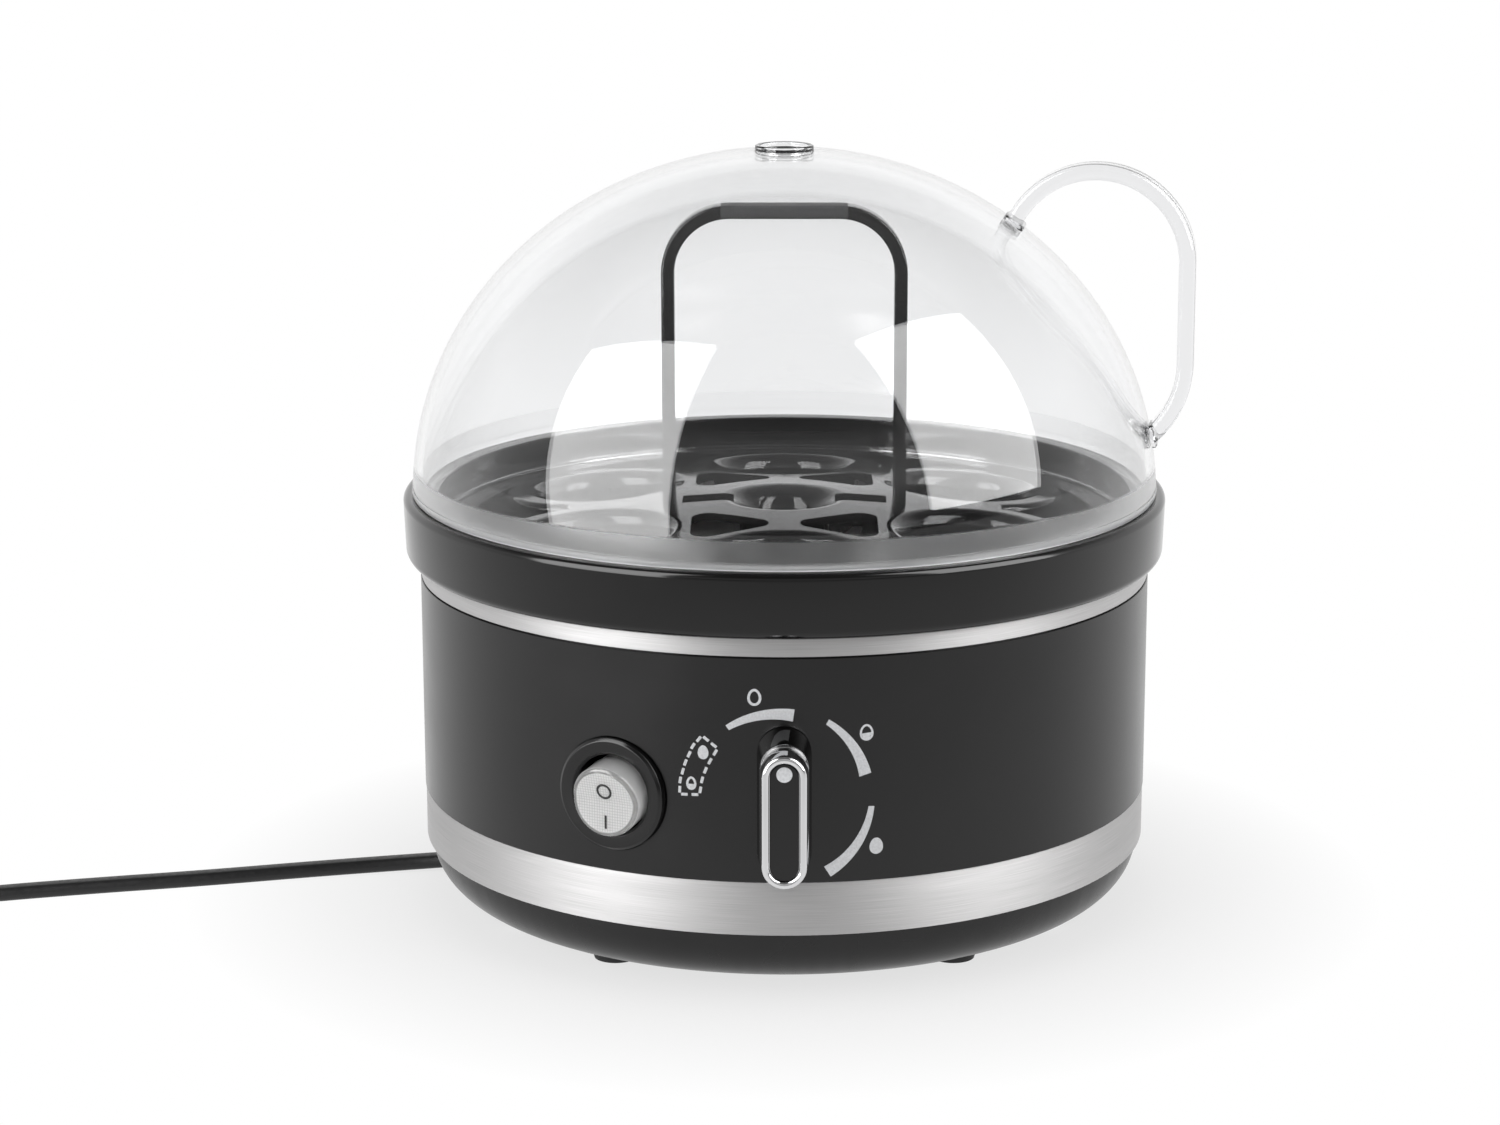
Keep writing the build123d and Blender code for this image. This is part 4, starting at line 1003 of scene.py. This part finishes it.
KNOB_BACK, KNOB_NECK, KNOB_FRONT = -core_high.y, -cap_high.y, -cap_low.y
CORE_SPAN = Vector((core_high.z - core_low.z, core_high.x - core_low.x))
FACE_SPAN = Vector((cap_high.z - cap_low.z, cap_high.x - cap_low.x))
INLAY_SPAN = Vector((inlay_high.z - inlay_low.z, inlay_high.x - inlay_low.x))
CAP_BEAD = ((0.05, 0.0), (0.4, 0.3), (1.0, 0.4), (1.6, 0.3), (2.1, 0.0))
CAP_ROUNDING = 0.7 * MM
KNOB_BOW = 1.6


def knob_ring(span, grow, out):
    """A slot of a length and a width round the dial's axis, a distance in front of the body's axis."""
    outline = slot_outline(span.x + 2 * grow, span.y + 2 * grow)
    return [Vector((DIAL.x + point.x, -out, DIAL.z + point.y)) for point in outline]


def core_ring(out, grow=0.0):
    """A slot of the core, which narrows in a bow from its back to its neck."""
    bow = 1 - (1 - (out - KNOB_BACK) / (KNOB_NECK - KNOB_BACK)) ** KNOB_BOW
    return knob_ring(CORE_SPAN + (FACE_SPAN - CORE_SPAN) * bow, grow, out)


class CookerKnob(bpy.types.Operator):
    """Builds the dial knob: black core, bright cap, inlay and pointer dot"""

    bl_idname = "egg_cooker.knob"
    bl_label = "Knob"

    def execute(self, context):
        size, tone = sizes(), colours()
        gloss = moulded_plastic("knob black", tone.gloss, 0.05, 0.09, 300.0, 0.00001)
        satin = moulded_plastic("inlay black", tone.drum, 0.28, 0.36, 2400.0, 0.00002)
        chrome = plated_metal("bright chrome", tone.chrome, 0.03, 0.07)

        skirt = KNOB_NECK - size.knob_skirt
        under = -0.3 * MM
        rings = [core_ring(KNOB_BACK), core_ring(KNOB_BACK + 0.5 * MM), core_ring((KNOB_BACK + skirt) / 2),
                 core_ring(skirt), core_ring(skirt, under), core_ring(KNOB_NECK, under)]
        core = lofted("knob_bar", rings, sharp=50)
        finish(core, gloss, "knob", "black_gloss", "knob_core")

        face = KNOB_FRONT - CAP_ROUNDING
        rings = [core_ring(skirt + out * MM, grow * MM) for out, grow in CAP_BEAD]
        rings += [core_ring(KNOB_NECK), knob_ring(FACE_SPAN, 0.0, face)]
        half = size.knob_rim / 2
        for inset, rise in arc((half, 0.0), -half, CAP_ROUNDING, 0.0, math.pi, 10)[1:]:
            rings.append(knob_ring(FACE_SPAN, -inset, face + rise))
        rings.append(knob_ring(FACE_SPAN, -size.knob_rim, -inlay_high.y))
        cap = lofted("knob_bright_cap", rings, sharp=50)
        finish(cap, chrome, "knob", "chrome_trim", "knob_cap")

        rings = [knob_ring(INLAY_SPAN, 0.0, -inlay_high.y + 0.02 * MM),
                 knob_ring(INLAY_SPAN, 0.0, face - 0.25 * MM),
                 knob_ring(INLAY_SPAN, -0.15 * MM, face)]
        inlay = lofted("knob_face", rings, sharp=40)
        finish(inlay, satin, "knob", "black_gloss", "knob_inlay")

        radius = (dot_high.x - dot_low.x) / 2
        centre = (dot_low + dot_high) / 2
        place = Matrix.Translation((centre.x, -face, centre.z)) @ Matrix.Rotation(math.pi / 2, 4, "X")
        foot = -0.2 * MM
        dome = arc((0.0, 0.0), radius, 0.25 * MM, 0.0, math.pi / 2, 6)
        dot = turned("pointer_dot", [Vector((0, foot)), Vector((radius, foot)), *dome], place, 48)
        finish(dot, matt_surface("dot grey", tone.mark, 1600.0, rough=0.4), "knob", "pale_mark", "knob_dot")
        dress(plated_metal("shaft steel", (0.5, 0.5, 0.5), 0.2, 0.3), "regulator_shaft")
        return {"FINISHED"}


# The rocker switch

ROCKER_TILT = math.radians(7.0)
LENS_VALLEY = 8.4 * MM
LENS_BASE = 1.9 * MM
LENS_EDGE = 1.1 * MM
BARREL_WALL = 1.5 * MM
BARREL_BACK = -22.0 * MM
RIVET_RADIUS = 1.5 * MM
RIVET_REACH = 12.0 * MM
NOUGHT_CENTRE = (0.2 * MM, 2.7 * MM)
NOUGHT_RADIUS = 1.95 * MM
STROKE_CENTRE = (0.2 * MM, -4.8 * MM)


def rocker_frame():
    """The rocker's own frame: at its pivot, tilted as at rest."""
    turn = switch_place().to_3x3().to_4x4()
    return Matrix.Translation(SWITCH_PIVOT) @ turn @ Matrix.Rotation(ROCKER_TILT, 4, "X")


def lens_height(y):
    """The lens's height above its pivot: two facets that meet in a valley."""
    return LENS_VALLEY + abs(y) * math.tan(ROCKER_TILT)


def lens_mesh(name, radius, place, steps=96):
    """The clear cap, with a rounded edge and a UV map across its face."""
    bm = bmesh.new()
    uv = bm.loops.layers.uv.new("surface")
    levels = [(radius, None)]
    levels += arc((radius - LENS_EDGE, LENS_EDGE), LENS_EDGE, -LENS_EDGE, 0.0, math.pi / 2, 5)
    levels += [(radius * share, 0.0) for share in (0.8, 0.6, 0.4, 0.2)]
    rings = []
    for ring_radius, drop in levels:
        ring = []
        for step in range(steps):
            angle = 2 * math.pi * step / steps
            x, y = ring_radius * math.cos(angle), ring_radius * math.sin(angle)
            height = LENS_BASE if drop is None else lens_height(y) - drop
            ring.append(bm.verts.new((x, y, height)))
        rings.append(ring)
    for low, high in zip(rings, rings[1:]):
        bridge(bm, low, high)
    half = steps // 2
    bm.faces.new(rings[-1][:half + 1])
    bm.faces.new(rings[-1][half:] + rings[-1][:1])
    bm.faces.new(reversed(rings[0]))
    bmesh.ops.recalc_face_normals(bm, faces=bm.faces)
    for face in bm.faces:
        for loop in face.loops:
            loop[uv].uv = loop.vert.co.xy
    bm.transform(place)
    return to_object(name, bm, 25)


def bezel_ring():
    """The switch's flat bezel with its closed barrel."""
    opening, outer = sizes().bezel_opening, sizes().bezel_radius
    barrel, closed = opening + BARREL_WALL, BARREL_BACK - BARREL_WALL
    return turned("bezel", rounded([
        (0, closed, 0), (barrel, closed, 0), (barrel, -BEZEL_RECESS, 0), (outer, -BEZEL_RECESS, 0),
        (outer, -0.6 * MM, 0.3 * MM), (outer - 0.7 * MM, 0.0, 0.4 * MM),
        (opening + 0.6 * MM, -0.2 * MM, 0.3 * MM), (opening, -0.9 * MM, 0.3 * MM),
        (opening, BARREL_BACK, 0), (0, BARREL_BACK, 0)]), switch_place(), 128)


def rocker_plate(material):
    """The white carrier under the lens, with its pivots and a field of prisms, still upright."""
    radius, below, level = sizes().lens_radius - 0.3 * MM, 2.0 * MM, LENS_BASE - 0.45 * MM
    plate = turned("plate", rounded([
        (0, -below, 0), (radius, -below, 0.3 * MM), (radius, level, 0.2 * MM), (0, level, 0)]), None, 64)
    across = Matrix.Rotation(math.pi / 2, 4, "Y")
    pins = turned("pins", plug_form(RIVET_RADIUS, -RIVET_REACH, RIVET_REACH), across, 32)
    carrier = joined("rocker_plate", [plate, pins])
    lift = LENS_BASE - 0.25 * MM
    carrier.data.transform(Matrix.Translation((0, 0, -lift)))
    apply_tree(carrier, prism_tree(), {
        "Radius": radius - 0.6 * MM, "Pitch": 0.8 * MM, "Rise": 0.4 * MM, "Rows": 21, "Material": material})
    carrier.data.transform(Matrix.Translation((0, 0, lift)))
    return carrier


def rocker_marks():
    """A nought and a stroke in thin ink on the lens, still upright."""
    bm = bmesh.new()
    turns = [math.pi * step / 20 for step in range(40)]
    outer = [Vector((math.cos(turn), math.sin(turn))) * NOUGHT_RADIUS for turn in turns]
    inner = [point * 0.72 for point in outer]
    bridge(bm, flat_points(bm, outer, *NOUGHT_CENTRE), flat_points(bm, inner, *NOUGHT_CENTRE))
    bm.faces.new(flat_points(bm, box_outline(0.55 * MM, 3.2 * MM, 0.1 * MM), *STROKE_CENTRE))
    for vertex in bm.verts:
        y = vertex.co.z
        vertex.co = (vertex.co.x, y, lens_height(y) + 0.02 * MM)
    bmesh.ops.recalc_face_normals(bm, faces=bm.faces)
    marks = to_object("rocker_marks", bm)
    thick = marks.modifiers.new("ink", "SOLIDIFY")
    thick.thickness = 0.03 * MM
    thick.offset = 0.0
    return settled_mesh(marks)


class CookerSwitch(bpy.types.Operator):
    """Builds the round rocker switch: bezel, clear lens, prismatic carrier and its marks"""

    bl_idname = "egg_cooker.switch"
    bl_label = "Switch"

    def execute(self, context):
        size, tone = sizes(), colours()
        black = moulded_plastic("bezel black", tone.drum, 0.16, 0.24, 1900.0, 0.00001)
        finish(bezel_ring(), black, "base", "black_satin", "switch_frame")

        place = rocker_frame()
        lens = lens_mesh("rocker_cap", size.lens_radius, place)
        milky = prism_plastic("prismatic lens", (0.97, 0.97, 0.96), 0.66 * MM, size.lens_radius)
        finish(lens, milky, "rocker", "clear_lens", "rocker_lens")

        white, tree, shader = principled("white carrier", {
            "Base Color": solid((0.82, 0.82, 0.80)), "Roughness": 0.35})
        feed(tree, shader, {"Normal": bump(tree, object_noise(tree, 900.0), 0.1, 0.00003)})
        carrier = rocker_plate(white)
        carrier.data.transform(place)
        finish(carrier, white, "rocker", "white_plastic", "rocker_carrier")

        marks = rocker_marks()
        marks.data.transform(place)
        ink = matt_surface("dark ink", (0.02, 0.02, 0.02), 2000.0, rough=0.5)
        finish(marks, ink, "rocker", "black_satin")
        dress(plated_metal("contact brass", (0.72, 0.56, 0.28), 0.25, 0.35), "switch_terminals",
              "regulator_terminals", "terminal_screws")
        return {"FINISHED"}


# The heating group and the tray

LOOP_TONGUE = 3.0 * MM


def carrying_loop(half, top):
    """The tray's loop, bent from a flat bar, with a tongue under each end."""
    size = sizes()
    foot = loop_low.z + LOOP_TONGUE
    line = rounded([(-half, foot, 0), (-half, top, size.loop_corner), (half, top, size.loop_corner),
                    (half, foot, 0)], closed=False, steps=14)
    section = box_outline(size.loop_depth, size.loop_bar, 0.7 * MM)
    pieces = [swept("loop", [Vector((x, 0.0, z)) for x, z in line], section, forward)]
    for side in (-half, half):
        outline = box_outline(2.0 * MM, 5.0 * MM, 0.3 * MM)
        pieces.append(lofted("tongue", [[Vector((side + x, y, level)) for x, y in outline]
                                        for level in (loop_low.z, foot)]))
    return joined("carrying_loop", pieces)


class CookerTray(bpy.types.Operator):
    """Finishes the egg tray, its carrying loop and the heating group below it"""

    bl_idname = "egg_cooker.tray"
    bl_label = "Tray and bowl"

    def execute(self, context):
        size, tone = sizes(), colours()
        gloss = moulded_plastic("tray black", tone.gloss, 0.05, 0.10, 220.0, 0.00001)
        merged_copy("tray", "egg_tray", gloss, "tray", "black_gloss")

        half = (loop_high.x - loop_low.x) / 2 - size.loop_bar / 2
        top = loop_high.z - size.loop_bar / 2
        # The loop's flat top gets a satin grip and a painted sheen: a paler colour that stands in for its
        # lighter reflection.
        satin = grip_with_painted_sheen("loop black", tone.gloss, half - size.loop_corner + 2.0 * MM, top - 6.0 * MM)
        finish(carrying_loop(half, top), satin, "tray", "black_gloss", "tray_handle")

        pressed = plated_metal("pressed steel", (0.56, 0.555, 0.55), 0.22, 0.34)
        merged_copy("bowl", "heating_bowl", pressed, "base", "bowl_steel")
        dress(plated_metal("rolled aluminium", (0.74, 0.74, 0.75), 0.2, 0.32), "reflector_dish")
        dress(plated_metal("plated steel", (0.5, 0.5, 0.5), 0.28, 0.4), "bowl_studs", "stud_nuts",
              "thermostat_spring", "heating_element", "regulator_screws")
        dress(matt_surface("grey silicone", (0.42, 0.42, 0.43), 900.0), "bowl_gasket")
        dress(matt_surface("heat resistant moulding", (0.30, 0.24, 0.17), 1200.0), "thermostat", "regulator")
        dress(matt_surface("block white", (0.72, 0.72, 0.70), 1200.0, rough=0.45), "terminal_block")
        dress(matt_surface("buzzer black", tone.drum, 1500.0, rough=0.4), "buzzer")
        dress(clear_plastic("lamp glass", (0.98, 0.86, 0.74)), "pilot_lamp")
        return {"FINISHED"}


# The lid

LIP_OUTER, LIP_INNER = 87.15 * MM, 85.25 * MM
GRIP_TURN = math.radians(-8.5)
GRIP_TOP = Vector((76.0, 160.1)) * MM
GRIP_TOP_RADIUS = 22.0 * MM
GRIP_STRAIGHT = 24.1 * MM
GRIP_LOW_RADIUS = 24.0 * MM
GRIP_LOW_START = math.radians(-80)
GRIP_PAD = ((0.15, 0.8), (0.9, 0.8), (1.3, 0.4))


def dome_height():
    """The outer height of the dome above the collar, without its vent."""
    return dome_high.z - sizes().vent_rise - COLLAR_TOP


def outside_dome(point):
    """Whether a (radius, height) point lies outside the dome."""
    return (point.x / sizes().dome_radius) ** 2 + ((point.y - COLLAR_TOP) / dome_height()) ** 2 > 1


def grip_line():
    """The middle line of the lid's handle in its own upright plane, from its lower foot to its upper one."""
    reach = GRIP_TOP.x + GRIP_TOP_RADIUS
    bend = (reach - GRIP_LOW_RADIUS, GRIP_TOP.y - GRIP_STRAIGHT)
    points = arc(bend, GRIP_LOW_RADIUS, GRIP_LOW_RADIUS, GRIP_LOW_START, 0.0, 60)
    points += arc(GRIP_TOP, GRIP_TOP_RADIUS, GRIP_TOP_RADIUS, 0.0, math.pi, 120)[1:-1]
    return [point for point in points if outside_dome(point)]


def grip_foot(name, point):
    """A small pad where the handle meets the dome."""
    size = sizes()
    rise = (point.y - COLLAR_TOP) / dome_height() ** 2
    normal = Vector((point.x / size.dome_radius ** 2, 0.0, rise)).normalized()
    side = Vector((0.0, 1.0, 0.0))
    across = normal.cross(side)
    origin = Vector((point.x, 0.0, point.y))
    rings = []
    for lift, grow in GRIP_PAD:
        outline = box_outline(size.grip_width + 2 * grow * MM, size.grip_thickness + 2 * grow * MM, 1.4 * MM)
        rings.append([origin + normal * lift * MM + side * x + across * y for x, y in outline])
    return lofted(name, rings, sharp=50)


def dome_outline():
    """The lid's section: rim and lip, outer skin, vent tube and inner skin."""
    size = sizes()
    height, wall = dome_height(), size.dome_wall
    apex = COLLAR_TOP + height
    inside, low = size.dome_radius - wall, height - wall
    vent_outer = size.vent_radius + size.vent_wall
    outer = arc((0.0, COLLAR_TOP), size.dome_radius, height,
                math.asin(size.rim_lip / height), math.acos(vent_outer / size.dome_radius), 72)
    inner = arc((0.0, COLLAR_TOP), inside, low,
                math.acos(vent_outer / inside), math.asin(size.rim_ledge / low), 72)
    rim_edge, soft, tube_low = size.dome_radius + 0.2 * MM, 0.35 * MM, dome_high.z - size.vent_tube
    rim = rounded([
        (inner[-1].x, inner[-1].y, 0), (LIP_INNER, COLLAR_TOP + size.rim_ledge, soft),
        (LIP_INNER, dome_low.z, soft), (LIP_OUTER, dome_low.z, soft), (LIP_OUTER, COLLAR_TOP, 0),
        (rim_edge, COLLAR_TOP, 0.8 * MM), (rim_edge, COLLAR_TOP + size.rim_lip, 0)], closed=False, steps=8)
    vent = rounded([
        (vent_outer, apex - wall / 2, 0), (vent_outer, dome_high.z, 0.5 * MM),
        (size.vent_radius, dome_high.z, 0.5 * MM), (size.vent_radius, tube_low, 0.4 * MM),
        (vent_outer, tube_low, 0.4 * MM), (vent_outer, apex - wall, 0)], closed=False, steps=4)
    return rim[1:] + outer + vent[1:-1] + inner


class CookerLid(bpy.types.Operator):
    """Builds the clear domed lid with its frosted rim, vent tube and side handle"""

    bl_idname = "egg_cooker.lid"
    bl_label = "Lid"

    def execute(self, context):
        size, tone = sizes(), colours()
        dome = turned("dome", dome_outline(), segments=256, sharp=50)
        glass = frosted_plastic("clear lid", tone.clear, size.dome_radius - size.dome_wall / 2,
                                COLLAR_TOP + size.frosted)
        finish(dome, glass, "lid", "clear_plastic", "lid_dome")

        line = grip_line()
        section = box_outline(size.grip_width, size.grip_thickness, 1.5 * MM, steps=6)
        strap = swept("strap", [Vector((x, 0.0, z)) for x, z in line], section, forward)
        feet = [grip_foot("low foot", line[0]), grip_foot("high foot", line[-1])]
        grip = joined("side_handle", [strap, *feet])
        grip.data.transform(Matrix.Rotation(GRIP_TURN, 4, "Z"))
        finish(grip, clear_plastic("clear handle", tone.handle), "lid", "clear_plastic", "lid_handle")
        return {"FINISHED"}


# Studio

WHITE = (1.0, 1.0, 1.0, 1.0)
CAMERA_PLACE = Vector((0.0, -0.900, 0.2988))
CAMERA_PITCH = math.radians(13.49)
CAMERA_LENS = 89.3
CAMERA_SHIFT = -0.0229
SOFTBOX_SHINE = 5.5
SOFTBOX_FILL = 2.2


def softbox(name, place, azimuth, lean, width, height):
    """A soft light that faces the object: a lamp for its mirror image and a gentler one for its light."""
    turn, lift = math.radians(azimuth), math.radians(lean)
    away = Vector((math.sin(turn) * math.cos(lift), -math.cos(turn) * math.cos(lift), math.sin(lift)))
    for part, level in (("shine", SOFTBOX_SHINE), ("fill", SOFTBOX_FILL)):
        lamp = bpy.data.lights.new(f"{name} {part}", "AREA")
        lamp.shape = "RECTANGLE"
        lamp.size = width
        lamp.size_y = height
        lamp.energy = level * math.pi * width * height
        holder = bpy.data.objects.new(lamp.name, lamp)
        holder.location = place
        holder.rotation_mode = "QUATERNION"
        holder.rotation_quaternion = away.to_track_quat("Z", "Y")
        holder.visible_diffuse = part == "fill"
        holder.visible_glossy = part == "shine"
        bpy.context.scene.collection.objects.link(holder)


def light_path(tree):
    """The light path's sockets, and whether the ray has met a mirror on its way."""
    path = add(tree, "ShaderNodeLightPath").outputs
    return path, maths(tree, "MINIMUM", path["Glossy Depth"], 1.0)


def studio_world():
    """White to the camera and to glass, darker in mirrors in front and above, and a soft fill elsewhere."""
    world = bpy.data.worlds.new("studio")
    bpy.context.scene.world = world
    world.use_nodes = True
    tree = world.node_tree
    path, mirrored = light_path(tree)
    seen = maths(tree, "MAXIMUM", path["Is Camera Ray"], path["Is Transmission Ray"])
    heading = parted(tree, coordinates(tree)["Generated"])
    front = ranged(tree, heading["Z"], 0.10, 0.65, 0.05, 0.3)
    behind = ranged(tree, heading["Y"], front, 1.0, -0.5, 0.3)
    above = ranged(tree, heading["Z"], 1.0, 0.2, 0.35, 0.7)
    room = maths(tree, "MULTIPLY", behind, above)
    level = mixed(tree, mirrored, mixed(tree, seen, 0.25, 1.0), room)
    feed(tree, tree.nodes["Background"], {"Color": WHITE, "Strength": level})


def floor_material():
    """White floor with a shadow near the object. Further off it is plain, and in front it mirrors darker."""
    material = bpy.data.materials.new("studio floor")
    material.use_nodes = True
    tree = material.node_tree
    tree.nodes.clear()
    place = coordinates(tree)["Object"]
    near = ranged(tree, vector_maths(tree, "LENGTH", place), 0.28, 0.0, 0.085, 0.15)
    front = ranged(tree, parted(tree, place)["Y"], 0.45, 1.0, -0.7, 0.1)
    mirrored = light_path(tree)[1]
    strength = mixed(tree, mirrored, 1.0, front)
    glow = output(tree, "ShaderNodeEmission", {"Color": WHITE, "Strength": strength})
    paper = output(tree, "ShaderNodeBsdfDiffuse", {"Color": solid((0.92, 0.92, 0.92))})
    surface = output(tree, "ShaderNodeMixShader", {0: near, 1: glow, 2: paper})
    add(tree, "ShaderNodeOutputMaterial", {"Surface": surface})
    return material


class CookerStage(bpy.types.Operator):
    """Sets the floor, the lamps, the world and the camera"""

    bl_idname = "egg_cooker.stage"
    bl_label = "Stage"

    def execute(self, context):
        scene = context.scene
        scene.view_settings.view_transform = "Standard"
        bm = bmesh.new()
        bmesh.ops.create_circle(bm, cap_ends=True, segments=96, radius=9.0)
        floor = to_object("floor", bm)
        floor.data.materials.append(floor_material())
        studio_world()
        softbox("left softbox", (-0.864, -0.493, 0.446), -27.8, 20.0, 0.89, 1.50)
        softbox("right softbox", (0.743, -0.297, 0.644), 47.4, 25.4, 0.72, 1.01)
        lens = bpy.data.cameras.new("photo camera")
        lens.sensor_width = 36.0
        lens.lens = CAMERA_LENS
        lens.shift_x = CAMERA_SHIFT
        camera = bpy.data.objects.new("photo camera", lens)
        camera.location = CAMERA_PLACE
        camera.rotation_euler = (math.pi / 2 - CAMERA_PITCH, 0.0, 0.0)
        scene.collection.objects.link(camera)
        scene.camera = camera
        return {"FINISHED"}


class CookerPanel(bpy.types.Panel):
    """Lists the cooker's sizes, colours and pieces"""

    bl_idname = "VIEW3D_PT_egg_cooker"
    bl_label = "Egg cooker"
    bl_space_type = "VIEW_3D"
    bl_region_type = "UI"
    bl_category = "Egg cooker"

    def draw(self, context):
        for group in (context.scene.egg_cooker_sizes, context.scene.egg_cooker_colours):
            column = self.layout.column()
            for name in group.__annotations__:
                column.prop(group, name)
        for piece in PIECES:
            self.layout.operator(piece.bl_idname)


PIECES = (CookerStage, CookerLead, CookerBody, CookerPrint, CookerKnob, CookerSwitch, CookerTray, CookerLid)
CLASSES = (CookerSizes, CookerColours, *PIECES, CookerPanel)


def register():
    """Adds the classes and the scene's properties."""
    for made in CLASSES:
        bpy.utils.register_class(made)
    bpy.types.Scene.egg_cooker_sizes = PointerProperty(type=CookerSizes)
    bpy.types.Scene.egg_cooker_colours = PointerProperty(type=CookerColours)


def unregister():
    """Removes the scene's properties and the classes."""
    del bpy.types.Scene.egg_cooker_colours
    del bpy.types.Scene.egg_cooker_sizes
    for made in reversed(CLASSES):
        bpy.utils.unregister_class(made)


def main():
    """Builds every piece."""
    register()
    bpy.ops.egg_cooker.stage()
    bpy.ops.egg_cooker.lead()
    bpy.ops.egg_cooker.body()
    bpy.ops.egg_cooker.dial_print()
    bpy.ops.egg_cooker.knob()
    bpy.ops.egg_cooker.switch()
    bpy.ops.egg_cooker.tray()
    bpy.ops.egg_cooker.lid()


if __name__ == "__main__":
    main()
